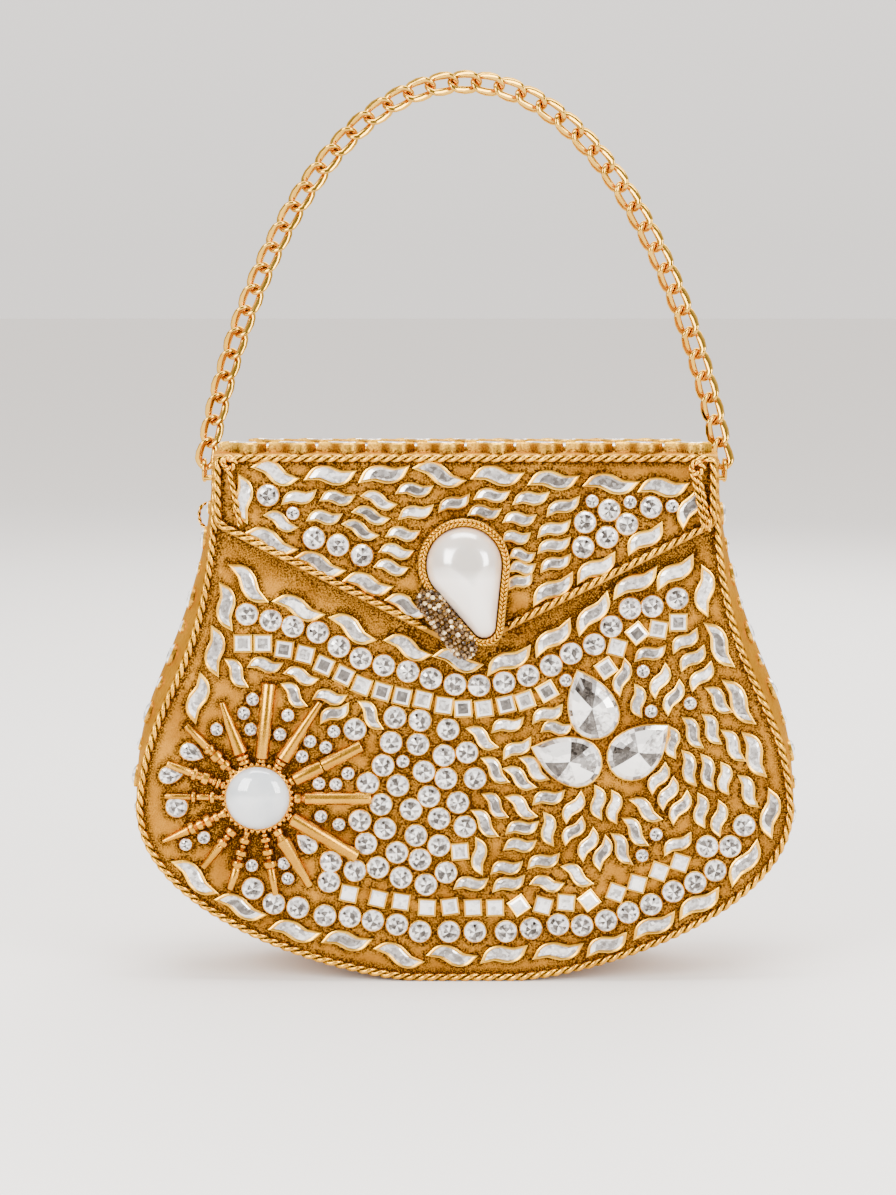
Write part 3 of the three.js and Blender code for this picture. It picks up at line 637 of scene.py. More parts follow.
# The fittings that the flap turns and closes on: a steel pin through the knuckles, a magnet's stud under the
# point of the apron, and its socket let into the front.
steel, nodes, links, shader = finish_with("brushed steel", (0.55, 0.53, 0.50), 0.3, 1)
where = nodes.new("ShaderNodeTexCoord")
brushed = link_noise(nodes, links, 700, 6, where)
colour_by(nodes, links, shader, brushed.outputs[0], [(0.3, (0.42, 0.40, 0.37)), (0.7, (0.66, 0.63, 0.58))])
links.new(calculate(nodes, links, "MULTIPLY_ADD", brushed.outputs[0], 0.3, 0.15), shader.inputs["Roughness"])
roughen(nodes, links, shader, brushed.outputs[0], 0.4, 0.00003)
for node, body in (("hinge_pin", "shell"), ("snap_socket", "shell"), ("snap_stud", "flap")):
    merged_copy(node, node + "_steel", steel, body)


# The kundan stones: flat glass cut and backed with silver foil, each held in a strip of gold that is burnished
# over its edge. Every shape is made once, lying flat, then copied to its place by the pixel it has in view.
def front_depth(x, z):
    return front_face + bow(x, z)


def on_front(px, py):
    first_guess = sight(px, py, 0.0250)
    return sight(px, py, front_depth(first_guess.x / MM, first_guess.z / MM) * MM)


def drawn_round(name, line):
    """A flat disc pulled out to a closed line."""
    disc = begin(name, bpy.ops.mesh.primitive_circle_add, vertices=len(line), radius=1, fill_type="NGON")
    for vertex, (x, y) in zip(disc.data.vertices, line):
        vertex.co = Vector((x, y, 0)) * MM
    return disc


def raise_and_step(piece, height, steps, poke=False, heart=None):
    """Pulls the disc up into a prism, then steps its top inwards and up by each pair, in millimetres. Where a
    line has a sharp tip, heart is the place that the top is drawn in towards, and each pair begins with a share."""
    bpy.ops.object.mode_set(mode="EDIT")
    bpy.ops.mesh.select_mode(type="FACE")
    bpy.ops.mesh.select_all(action="SELECT")
    bpy.ops.mesh.extrude_region_move(TRANSFORM_OT_translate={"value": (0, 0, height * MM)})
    for width, rise in steps:
        if heart is not None:
            bpy.ops.mesh.extrude_region_move(TRANSFORM_OT_translate={"value": (0, 0, rise * MM)})
            bpy.ops.transform.resize(value=(width, width, 1), center_override=(heart * MM, 0, 0))
        else:
            bpy.ops.mesh.inset(thickness=width * MM, depth=rise * MM, use_even_offset=True)
    if poke:
        bpy.ops.mesh.poke(offset=0)
    bpy.ops.object.mode_set(mode="OBJECT")
    face_out(piece)


def sink(piece, depth):
    piece.data.transform(Matrix.Translation((0, 0, -depth * MM)))


def strip_of_gold(name, line, wall, height, heart=None, reach=1.0):
    """The setting: a low wall with a burnished edge, sunk into the ground, and a floor for the foil. reach is
    how far the line is from its heart, where it has one."""
    setting = drawn_round(name, line)
    steps = [(wall * 0.45, 0.18), (wall * 0.55, -0.22), (0.02, -0.5)]
    if heart is not None:
        steps = [(1 - width / reach, rise) for width, rise in steps]
    raise_and_step(setting, height + 0.15, steps, heart=heart)
    sink(setting, 0.3)
    # Painted shade: the wall is darkened towards its foot, where it meets the ground.
    foot_painted_shade = [0.95 if vertex.co.z < 0 else 0.0 for vertex in setting.data.vertices]
    write_patina_and_shade(setting, foot_painted_shade)
    setting.data.materials.append(bezel_gold)
    return setting


def cut_stone(name, line, height, steps, foot=0.2, poke=False, heart=None):
    stone = drawn_round(name, line)
    raise_and_step(stone, height - foot, steps, poke, heart)
    sink(stone, -foot)
    stone.data.materials.append(crystal)
    stone.data.attributes.new("tone", "FLOAT", "FACE")
    return stone


def shrink(line, by):
    """A closed line moved inwards by a width, its corners kept sharp."""
    inner = []
    for i, (x, y) in enumerate(line):
        here = Vector((x, y))
        before = (here - Vector(line[i - 1])).normalized()
        after = (Vector(line[(i + 1) % len(line)]) - here).normalized()
        push = (Vector((-before.y, before.x)) + Vector((-after.y, after.x))) / (1 + before.dot(after))
        inner.append(tuple(here + push * by))
    return inner


bezel_gold = gilt(
    "burnished setting gold", deep=(0.09, 0.033, 0.004), low=(0.62, 0.29, 0.018), high=(0.90, 0.51, 0.05),
    rough=(0.3, 0.45), grain=1500, depth=0.00002,
)
crystal, nodes, links, shader = finish_with("foil backed crystal", (0.9, 0.9, 0.92), 0.07)
where = nodes.new("ShaderNodeTexCoord")
facets = link_noise(nodes, links, 1150, 0, where, "ShaderNodeTexVoronoi")
smoke = link_noise(nodes, links, 420, 2, where)
broken = nodes.new("ShaderNodeSeparateColor")
links.new(facets.outputs["Color"], broken.inputs[0])
speckle = calculate(nodes, links, "MULTIPLY_ADD", broken.outputs[0], 0.34, -0.17)
drift = calculate(nodes, links, "MULTIPLY_ADD", smoke.outputs[0], 0.5, -0.25)
broken_up = calculate(nodes, links, "ADD", speckle, drift)
value = calculate(nodes, links, "ADD", read_attribute(nodes, "tone"), broken_up, clamp=True)
crystal_shades = [
    (0.0, (0.022, 0.017, 0.013)), (0.35, (0.11, 0.095, 0.083)),
    (0.65, (0.33, 0.31, 0.295)), (0.98, (0.92, 0.90, 0.87)),
]
colour_by(nodes, links, shader, value, crystal_shades)
set_sockets(shader, Coat_Weight=0.35, Coat_Roughness=0.03, Metallic=0.35)


def circle(radius, count, turn=0.0):
    angles = [2 * pi * (i + turn) / count for i in range(count)]
    return [(radius * cos(angle), radius * sin(angle)) for angle in angles]


def wave(length, width, count=7, tip=2.0):
    """The bent leaf, round its middle: it bulges to the left of its way near its tail, and to the right near its
    tip, and both its ends are sharp. No vertex lies so near a tip that its setting's wall would cross itself."""
    middle, end = (length / 2, 0.5 * width), (length, 0)
    upper = bezier((0, 0), (0.09 * length, 0.29 * width), (0.22 * length, 0.77 * width), middle, count)[:-1]
    upper += bezier(middle, (0.62 * length, 0.38 * width), (0.74 * length, -0.09 * width), end, count)
    upper = [(point.x - length / 2, point.y) for point in upper]
    inside = [point for point in upper[1:-1] if min(dist(point, upper[0]), dist(point, upper[-1])) > tip]
    return [(-length / 2, 0)] + [(-x, -y) for x, y in reversed(inside)] + [(length / 2, 0)] + inside[::-1]


def drop(radius, length, count=10):
    """A pear, its head round the middle and its tip at the left, with full sides."""
    reach = length - radius
    head = [(radius * cos(a), radius * sin(a)) for a in (pi * (i / count - 0.5) for i in range(count + 1))]
    side = bezier((0, radius), (-0.48 * reach, radius), (-0.78 * reach, 0.42 * radius), (-reach, 0), count)
    side = [(point.x, point.y) for point in side]
    return head + side[1:] + [(x, -y) for x, y in reversed(side[1:-1])]


unit = 10.0
wave_line = wave(unit, 6.0)
small_wave_line = wave(unit, 4.9)
shapes = {
    "wave": (
        strip_of_gold("wave_setting", wave_line, wall=0.68, height=1.15),
        cut_stone("wave_stone", shrink(wave_line, 0.62), height=0.8, steps=[(0.68, 0.4)], heart=0),
    ),
    "small_wave": (
        strip_of_gold("small_wave_setting", small_wave_line, wall=0.6, height=1.15),
        cut_stone("small_wave_stone", shrink(small_wave_line, 0.54), height=0.8, steps=[(0.66, 0.38)], heart=0),
    ),
    "large_round": (
        strip_of_gold("large_round_setting", circle(3.6, 18), wall=0.4, height=1.05),
        cut_stone("large_round_stone", circle(3.25, 16), height=1.1, steps=[(0.7, 0.62), (0.9, 0.3)], poke=True),
    ),
    "small_round": (
        strip_of_gold("small_round_setting", circle(2.15, 14), wall=0.33, height=0.95),
        cut_stone("small_round_stone", circle(1.87, 12), height=1.0, steps=[(0.45, 0.42), (0.55, 0.2)], poke=True),
    ),
    "square": (
        strip_of_gold("square_setting", circle(3.95, 4, 0.5), wall=0.62, height=1.0),
        cut_stone("square_stone", circle(3.15, 4, 0.5), height=0.95, steps=[(0.62, 0.4), (0.06, -0.08)]),
    ),
    "teardrop": (
        strip_of_gold("teardrop_setting", drop(2.9, 8.2), wall=0.4, height=0.9, heart=-1.0, reach=3.0),
        cut_stone(
            "teardrop_stone", drop(2.5, 7.2), height=1.0, steps=[(0.74, 0.5), (0.62, 0.2)], poke=True, heart=-1.0
        ),
    ),
}
chance = random.Random(7)
# The greys of a stone's table and of its inner and outer rings of facets are painted reflections.
table_greys = (0.36, 0.48, 0.58, 0.7, 0.9)
inner_facets, outer_facets = (0.16, 0.85, 0.5, 1.05, 0.32), (0.5, 1.0, 0.65, 0.25, 0.85)


def shade_stone(stone, kind, centre_tone=None):
    """Gives each facet its own grey: painted reflections and shade, the light and dark patches that cut facets mirror,
    drawn at random for each stone.
    """
    table = chance.choice(table_greys) if centre_tone is None else centre_tone
    left, right, foot, phase = (chance.random() for _ in range(4))
    tones = []
    for face in stone.data.polygons:
        x, y, z = face.center / MM
        level = face.normal.z
        around = atan2(y, x) / (2 * pi) + phase
        if level < 0.25:
            tones.append(0.9)
        # A wave's two slanted sides get painted light and shade, one lighter than the other, and some get dark tips, a
        # painted reflection.
        elif "wave" in kind:
            side = 0.66 + 0.36 * (left if y > 0 else right)
            dark_tip_reflection = 0.5 if foot > 0.6 and abs(x) > 3.4 else 0
            tones.append(table if level > 0.97 else side - dark_tip_reflection * chance.random())
        elif kind == "square":
            tones.append(table if level > 0.95 else chance.uniform(0.95, 1.15))
        elif level > 0.995:
            tones.append(inner_facets[int(around * 8) % 5] + chance.uniform(-0.12, 0.12))
        elif level > 0.9:
            tones.append(outer_facets[int(around * 11) % 5] + chance.uniform(-0.1, 0.1))
        else:
            tones.append(chance.uniform(0.7, 1.1))
    stone.data.attributes["tone"].data.foreach_set("value", tones)


upright = Matrix.Rotation(pi / 2, 4, "X")
lying = Matrix.Identity(4)


def set_stone(kind, place, turn=0.0, stretch=(1, 1, 1), stand=upright, centre_tone=None):
    """One stone and its setting, copied from their shape and put down at a place."""
    made = []
    move = Matrix.Translation(place) @ stand @ Matrix.Rotation(turn, 4, "Z") @ Matrix.Diagonal((*stretch, 1))
    for pattern in shapes[kind]:
        piece = copied(pattern)
        if "tone" in piece.data.attributes:
            shade_stone(piece, kind, centre_tone)
        piece.data.transform(move)
        made.append(piece)
    return made


def set_waves(kind, ends, where_on, width=1.0):
    pairs = []
    for x1, y1, x2, y2 in ends:
        tail, tip = where_on(x1, y1), where_on(x2, y2)
        across = tip - tail
        size = across.length / MM / unit
        turn = atan2(across.z, across.x)
        pairs.append(set_stone(kind, tail.lerp(tip, 0.5), turn, (size, width, 1)))
    return pairs


def set_rounds(kind, places, where_on, size=1.0):
    return [set_stone(kind, where_on(x, y), chance.random(), (size, size, 1)) for x, y in places]


# A long stone is given by the pixels of its tail and its tip, and a round one by its middle's. A square also has
# its turn in degrees and the grey of its table, a painted reflection.
front_border = [
    (228, 564, 269, 602), (272, 601, 326, 614), (328, 617, 377, 640), (383, 640, 433, 654), (432, 656, 484, 664),
    (487, 676, 531, 644), (536, 658, 570, 617), (579, 637, 607, 590), (613, 600, 657, 565), (657, 591, 693, 553),
    (701, 564, 708, 617), (703, 622, 735, 667), (721, 679, 756, 724), (741, 731, 767, 777), (768, 787, 772, 839),
    (732, 887, 757, 838), (219, 581, 233, 631), (211, 624, 219, 677), (200, 671, 196, 724), (171, 861, 219, 893),
    (214, 899, 268, 914), (268, 929, 322, 932), (321, 942, 373, 938), (373, 948, 425, 961), (426, 955, 478, 955),
    (480, 963, 528, 944), (532, 959, 584, 942), (586, 957, 627, 931), (633, 940, 675, 910), (679, 920, 719, 886),
]
front_field = [
    (224, 658, 249, 687), (247, 667, 284, 662), (283, 673, 320, 678), (280, 683, 308, 706), (312, 699, 348, 694),
    (320, 724, 349, 702), (357, 700, 384, 729), (540, 732, 573, 723), (491, 733, 524, 716), (532, 724, 563, 703),
    (465, 728, 499, 747), (503, 760, 531, 736), (634, 662, 666, 644), (673, 654, 697, 627), (681, 672, 704, 644),
    (692, 692, 711, 660), (624, 657, 620, 697), (655, 699, 665, 662), (668, 716, 679, 678), (634, 683, 642, 718),
    (704, 687, 733, 712), (681, 716, 704, 748), (701, 713, 722, 744), (668, 725, 676, 759), (720, 729, 746, 761),
    (681, 749, 697, 786), (700, 753, 715, 790), (720, 761, 729, 795), (737, 774, 759, 807), (652, 795, 665, 761),
    (663, 811, 673, 775), (673, 825, 687, 789), (697, 792, 705, 828), (718, 799, 720, 837), (628, 799, 663, 819),
    (621, 817, 649, 845), (610, 832, 633, 864), (611, 789, 617, 824), (664, 856, 691, 831), (594, 784, 602, 820),
    (566, 824, 581, 790), (532, 805, 565, 789), (565, 846, 582, 815), (583, 862, 593, 826), (600, 871, 605, 834),
    (560, 866, 594, 883), (543, 811, 554, 846), (504, 796, 538, 816), (481, 793, 509, 817), (470, 809, 499, 836),
    (505, 834, 539, 820), (503, 850, 537, 839), (475, 836, 483, 875), (490, 874, 523, 860), (527, 869, 560, 852),
    (492, 892, 525, 874), (529, 884, 565, 882), (453, 889, 489, 877), (480, 757, 510, 782), (502, 768, 537, 787),
    (518, 757, 550, 779),
]
upper_rounds = [
    (247, 614), (271, 620), (293, 626), (318, 632), (339, 646), (361, 658), (384, 665), (408, 671), (431, 678),
    (455, 684), (479, 685), (504, 682), (528, 675), (551, 665), (571, 653), (594, 644), (611, 626), (630, 608),
    (652, 606), (677, 598),
]
lower_rounds = [
    (253, 888), (274, 903), (298, 907), (325, 915), (350, 916), (373, 920), (397, 924), (420, 931), (449, 931),
    (475, 931), (506, 931), (531, 928), (558, 924), (582, 925), (606, 920), (628, 912), (651, 904), (673, 891),
    (695, 882), (715, 870), (730, 846), (707, 846), (744, 825), (329, 881), (355, 729), (177, 806),
]
honeycomb = [
    (395, 717), (420, 720), (448, 729), (391, 742), (418, 744), (444, 755), (467, 752), (383, 765),
    (424, 771), (446, 778), (475, 778), (368, 783), (398, 785), (429, 796), (458, 802), (381, 804), (411, 809),
    (360, 820), (439, 818), (385, 828), (465, 826), (416, 835), (366, 843), (397, 852), (439, 845), (331, 861),
    (355, 870), (378, 867), (420, 859), (401, 877), (446, 872), (426, 884),
]
small_rounds = [
    (253, 699), (244, 713), (251, 729), (217, 729), (288, 715), (280, 734), (310, 741), (334, 731), (326, 747),
    (302, 756), (348, 773), (319, 783), (336, 784), (321, 816), (339, 824), (252, 865), (288, 878), (204, 837),
    (186, 844), (284, 863), (566, 680), (643, 671), (651, 711), (690, 703), (403, 761), (656, 834), (642, 855),
]
upper_squares = [
    (243, 643, 0, 0.55), (263, 643, 0, 0.5), (284, 649, -8, 0.3), (305, 654, -14, 0.62), (324, 665, -24, 0.28),
    (344, 675, -26, 0.25), (362, 685, -22, 0.78), (382, 691, -16, 0.26), (402, 696, -13, 0.24), (423, 699, -13, 0.6),
    (444, 705, -8, 0.62), (463, 708, 3, 0.22), (484, 708, 8, 0.7), (506, 704, 14, 0.3), (525, 700, 20, 0.55),
    (547, 691, 30, 0.3), (606, 668, 35, 0.5), (617, 647, -15, 0.7), (637, 633, 40, 0.3), (658, 629, -10, 0.6),
    (678, 622, 0, 0.45),
]
lower_squares = [
    (349, 893, -12, 0.96), (378, 898, -14, 0.95), (401, 901, -9, 0.97), (427, 907, -3, 0.96), (450, 906, 8, 0.75),
    (473, 907, 3, 0.97), (495, 907, 2, 0.95), (519, 905, 35, 0.92), (543, 905, -15, 0.97), (566, 902, -5, 0.88),
    (589, 900, 38, 0.97), (616, 892, -20, 0.8), (637, 883, -15, 0.97), (659, 871, -20, 0.9), (680, 862, -18, 0.95),
    (460, 851, 5, 0.7),
]


def set_squares(rows, size):
    return [
        set_stone("square", on_front(x, y), radians(turn), (size, size, 1), centre_tone=tone)
        for x, y, turn, tone in rows
    ]


front_pairs = set_waves("wave", front_border, on_front) + set_waves("small_wave", front_field, on_front)
front_pairs += set_rounds("large_round", upper_rounds + lower_rounds + honeycomb, on_front)
front_pairs += set_rounds("small_round", small_rounds, on_front)
front_pairs += set_squares(upper_squares, 1.0) + set_squares(lower_squares, 0.97)
teardrops = [(189, 751, 203, 757), (168, 775, 184, 773), (309, 845, 300, 837)]
for x, y, tip_x, tip_y in teardrops:
    away = on_front(tip_x, tip_y) - on_front(x, y)
    front_pairs.append(set_stone("teardrop", on_front(x, y), atan2(away.z, away.x) + pi))

apron_border = [
    (251, 467, 300, 478), (304, 480, 357, 470), (358, 483, 410, 465), (412, 468, 467, 480), (470, 479, 525, 472),
    (527, 485, 580, 475), (582, 486, 640, 481), (637, 492, 690, 482), (238, 473, 248, 524), (683, 530, 699, 481),
    (244, 533, 299, 549), (293, 558, 347, 570), (342, 581, 394, 586), (384, 600, 430, 612), (628, 556, 662, 521),
    (577, 585, 615, 551), (533, 607, 573, 571),
]
apron_field = [
    (281, 505, 317, 489), (319, 501, 356, 494), (360, 496, 398, 504), (395, 494, 434, 485), (438, 513, 470, 493),
    (398, 520, 434, 504), (306, 521, 343, 513), (351, 512, 391, 518), (341, 524, 380, 535), (385, 537, 421, 530),
    (378, 552, 415, 550), (373, 567, 410, 567), (263, 515, 299, 527), (473, 500, 511, 490), (512, 505, 550, 491),
    (467, 516, 502, 508), (502, 523, 537, 514), (546, 517, 580, 495), (537, 538, 571, 519), (501, 542, 531, 532),
    (537, 554, 571, 536), (508, 558, 536, 552), (508, 572, 536, 563), (540, 573, 571, 553), (508, 590, 532, 572),
]
apron_large = [
    (268, 495), (314, 538), (338, 545), (362, 555), (609, 510), (585, 522), (627, 524), (607, 537), (583, 547),
    (651, 507),
]
apron_small = [(293, 513), (592, 501), (630, 502), (672, 506)]
flap_pairs = set_waves("wave", apron_border, on_apron) + set_waves("small_wave", apron_field, on_apron, 0.95)
flap_pairs += set_rounds("large_round", apron_large, on_apron, 0.98)
flap_pairs += set_rounds("small_round", apron_small, on_apron)

# On top of the flap lie two rows of long stones in deep settings, with small round ones between them. Each row
# has its shape, its number of stones, where its first stone is, the step to the next, its depth and its stretch.
top_rows = [
    ("wave", 10, -66.8, 14.85, -24.0, (1.42, 1.35, 2.6)),
    ("small_round", 9, -59.2, 14.8, -16.0, (1, 1, 1.4)),
    ("wave", 9, -59.2, 14.8, -9.5, (1.36, 1.1, 2.6)),
]
top_pairs = [
    set_stone(kind, Vector((first + step * number, row, flap_top)) * MM, 0, stretch, lying)
    for kind, count, first, step, row, stretch in top_rows
    for number in range(count)
]
flap_pairs += top_pairs
# Painted shade: the top rows' walls are darkened all over, at least this much, to dim how brightly they catch the
# light.
top_painted_shade = 0.3
for setting, _ in top_pairs:
    walls = setting.data.attributes["patina_and_shade"].data
    walls.foreach_set("value", [max(vertex.value, top_painted_shade) for vertex in walls])

# Down each side of the band run two rows of round stones, large and small in turn. Each is turned to look the way
# that the band does, and its setting is sunk a little into the curved sheet and soldered.
stone_rows, stone_step, lowest_stone, highest_stone, stone_sink = (-13.0, 13.0), 9.2, 26, 146, 0.55
rearwards = Vector((0, 1, 0))
band_pairs = []
for across in stone_rows:
    run = 0.0
    for at in range(1, band_rows):
        run += (outline_points[at] - outline_points[at - 1]).length
        if run < stone_step or not lowest_stone <= outline_points[at].y <= highest_stone:
            continue
        run = 0.0
        along = heading_at(outline_points, at)
        out = Vector((along.y, 0, -along.x))
        stand = Matrix((rearwards, out.cross(rearwards), out)).transposed().to_4x4()
        kind = "large_round" if len(band_pairs) % 2 else "small_round"
        band_pairs.append(set_stone(kind, band_point(at, across, -stone_sink), 0, stand=stand))

for name, pairs, body in (
    ("front", front_pairs, "shell"), ("flap", flap_pairs, "flap"), ("band", band_pairs, "shell"),
):
    settings = join(name + "_settings", [pair[0] for pair in pairs])
    stones = join(name + "_stones", [pair[1] for pair in pairs])
    smooth(settings, 35)
    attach(settings, body)
    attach(stones, body)

# The sunburst: a moonstone in a beaded setting, with fourteen turned gold rods round it. The upper rods are
# plain and tapered, the lower ones are turned into beads and spools, and all are soldered on their sides.
burst_middle = (-63.0, 57.3)
burst_depth = front_depth(*burst_middle)
burst_place = Matrix.Translation(Vector((burst_middle[0], -burst_depth, burst_middle[1])) * MM) @ upright
rod_stoutness, rod_lift, rod_reach = 1.32, 1.15, 30
ray_gold = gilt(
    "satin rod gold", deep=(0.06, 0.02, 0.002), low=(0.44, 0.195, 0.012), high=(0.70, 0.35, 0.028),
    rough=(0.27, 0.5), grain=1300, depth=0.00003,
)


def turned_rod(name, profile, sides=12):
    """A bar turned on its long axis: each pair of the profile is a place along it and a radius."""
    (start, radius), rest = profile[0], profile[1:]
    rod = begin(name, bpy.ops.mesh.primitive_circle_add, vertices=sides, radius=radius * MM, fill_type="NGON")
    bpy.ops.object.mode_set(mode="EDIT")
    bpy.ops.mesh.select_mode(type="FACE")
    bpy.ops.mesh.select_all(action="SELECT")
    at, wide = start, radius
    for place, next_radius in rest:
        bpy.ops.mesh.extrude_region_move(TRANSFORM_OT_translate={"value": (0, 0, (place - at) * MM)})
        share = next_radius / wide
        bpy.ops.transform.resize(value=(share, share, 1), center_override=(0, 0, (place - start) * MM))
        at, wide = place, next_radius
    bpy.ops.object.mode_set(mode="OBJECT")
    face_out(rod)
    rod.data.transform(Matrix.Translation((0, 0, start * MM)))
    smooth(rod, 50)
    return rod


def bead(middle, width, radius):
    half, radius = width / 2, radius * rod_stoutness
    curve = [(-1, 0.62), (-0.72, 0.93), (0, 1), (0.72, 0.93), (1, 0.62)]
    return [(middle + half * place, radius * share) for place, share in curve]


def tube_rod(start, end, wide, narrow):
    wide, narrow = wide * rod_stoutness, narrow * rod_stoutness
    rounded = [(end - 0.4, narrow), (end - 0.08, narrow * 0.9), (end, narrow * 0.55)]
    return [(start, wide * 0.82), (start + 0.3, wide)] + rounded


# Each rod by the direction that it points in, in degrees.
rods = {
    84: bead(11.6, 1.0, 1.2) + tube_rod(12.3, 35.6, 1.6, 1.75),
    57: bead(11.7, 1.2, 1.35) + bead(13.2, 1.4, 1.6) + tube_rod(14.2, 35.2, 1.9, 0.8),
    27: bead(11.7, 1.2, 1.2) + tube_rod(12.6, 22.0, 1.8, 1.7) + tube_rod(22.1, 35.6, 1.7, 1.45),
    0: bead(12.2, 2.2, 1.35) + tube_rod(14.2, 34.5, 1.6, 1.5),
    -31: bead(11.2, 0.9, 1.1) + tube_rod(12.0, 35.2, 1.9, 1.6),
    -60: bead(12.1, 2.0, 1.35) + tube_rod(14.6, 31.5, 1.95, 0.9),
    -80: bead(11.6, 1.0, 0.8) + bead(13.0, 1.5, 1.4) + bead(15.0, 0.9, 0.75) + bead(16.8, 2.0, 1.55)
         + bead(18.6, 0.8, 0.7) + bead(20.7, 2.4, 1.65) + tube_rod(22.1, 30.5, 1.1, 0.8),
    -107: bead(11.3, 1.2, 0.9) + bead(13.7, 1.9, 1.5) + bead(15.6, 0.9, 0.8) + bead(17.6, 1.9, 1.6)
          + bead(19.3, 0.9, 0.9) + bead(21.2, 2.0, 1.6) + tube_rod(22.6, 29.6, 1.15, 0.85),
    -128: bead(13.2, 2.2, 1.6) + bead(15.3, 1.2, 1.0) + bead(17.4, 2.0, 1.5) + tube_rod(18.8, 27.4, 1.2, 0.85),
    -155: bead(11.4, 1.6, 1.2) + bead(13.9, 1.7, 1.25) + bead(16.6, 2.2, 1.75) + bead(19.4, 2.2, 1.3)
          + bead(22.0, 2.0, 1.7) + tube_rod(23.2, 32.0, 1.15, 0.5),
    179: bead(11.0, 1.4, 0.8) + bead(13.7, 1.5, 1.65) + tube_rod(14.6, 18.6, 0.85, 0.85) + bead(19.4, 1.3, 1.6)
         + tube_rod(20.3, 28.2, 0.85, 0.7),
    159: bead(11.2, 1.0, 1.1) + bead(12.7, 1.0, 1.5) + bead(14.0, 1.0, 1.1) + bead(16.9, 2.6, 1.7)
         + bead(20.4, 1.6, 1.75) + tube_rod(21.6, 29.4, 1.15, 0.8),
    134: bead(11.3, 1.4, 1.0) + bead(14.2, 2.2, 1.55) + bead(17.9, 2.8, 1.7) + bead(20.9, 1.6, 1.6)
         + tube_rod(22.0, 31.0, 1.1, 0.85),
    110: bead(11.8, 1.3, 1.6) + bead(13.4, 1.3, 1.75) + tube_rod(14.6, 31.3, 1.9, 0.75),
}
burst_pieces = []
for heading, profile in rods.items():
    rod = turned_rod("rod", profile)
    angle = radians(heading)
    toward = Vector((cos(angle), 0, sin(angle)))
    far = burst_middle[0] + rod_reach * toward.x, burst_middle[1] + rod_reach * toward.z
    tilt = (front_depth(*far) - burst_depth) / rod_reach
    axis = Vector((toward.x, -tilt, toward.z)).normalized()
    aim = axis.to_track_quat("Z", "Y").to_matrix().to_4x4()
    start = Vector((burst_middle[0], -burst_depth - rod_lift, burst_middle[1])) * MM
    rod.data.transform(Matrix.Translation(start) @ aim)
    burst_pieces.append(rod)

collar_radius, grain_ring, grain_radius, grain_lift, grain_count = 10.2, 10.4, 0.78, 1.0, 36
collar = drawn_round("burst_collar", circle(collar_radius, 40))
raise_and_step(collar, 1.6, [(0.3, 0.2), (0.3, 0.1), (0.15, -0.6)])
sink(collar, 0.5)
collar.data.transform(burst_place)
burst_pieces.append(collar)
for x, y in circle(grain_ring, grain_count):
    grain = begin("grain", bpy.ops.mesh.primitive_ico_sphere_add, subdivisions=2, radius=grain_radius * MM)
    grain.data.transform(burst_place @ Matrix.Translation(Vector((x, y, grain_lift)) * MM))
    burst_pieces.append(grain)
sunburst = join("sunburst_rods", burst_pieces)
sunburst.data.materials.clear()
sunburst.data.materials.append(ray_gold)
smooth(sunburst, 45)
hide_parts("front_panel")
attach(sunburst, "shell")

cabochon_radius, cabochon_height, cabochon_lift, underside_share = 9.7, 5.3, 0.7, 0.25
cabochon = begin("moonstone_cabochon", bpy.ops.mesh.primitive_uv_sphere_add, segments=56, ring_count=28, radius=1)
for vertex in cabochon.data.vertices:
    x, y, z = vertex.co
    height = (z if z > 0 else z * underside_share) * cabochon_height + cabochon_lift
    vertex.co = Vector((x * cabochon_radius, y * cabochon_radius, height)) * MM
cabochon.data.transform(burst_place)
moonstone, nodes, links, shader = finish_with("moonstone", (0.82, 0.85, 0.88), 0.12)
where = nodes.new("ShaderNodeTexCoord")
cloud = link_noise(nodes, links, 110, 4, where)
colour_by(nodes, links, shader, cloud.outputs[0], [(0.32, (0.50, 0.54, 0.57)), (0.66, (0.68, 0.70, 0.71))])
set_sockets(shader, Subsurface_Weight=0.35, Subsurface_Radius=(0.002, 0.0024, 0.003))
set_sockets(shader, Coat_Weight=1, Coat_IOR=1.7, Coat_Roughness=0.06)
cabochon.data.materials.append(moonstone)
smooth(cabochon, 80)
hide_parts("burst_cabochon")
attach(cabochon, "shell")

# The three pear stones: large clear crystals cut in long facets that meet in the middle, each in a deep setting of
# its own. Their light and dark wedges are painted reflections in the facets' grey.
pear_radius, pear_length, pear_heart, pear_scale, pear_height, pear_sink = 7.7, 22.6, -2.4, 0.95, 1.9, 0.4
table_level, crown_level = 5.0, 3.4
pear_places = [(594.5, 714, 577, 669, 0.02), (577, 762, 532, 747, 0.3), (631.5, 755.5, 667, 725, 0.62)]
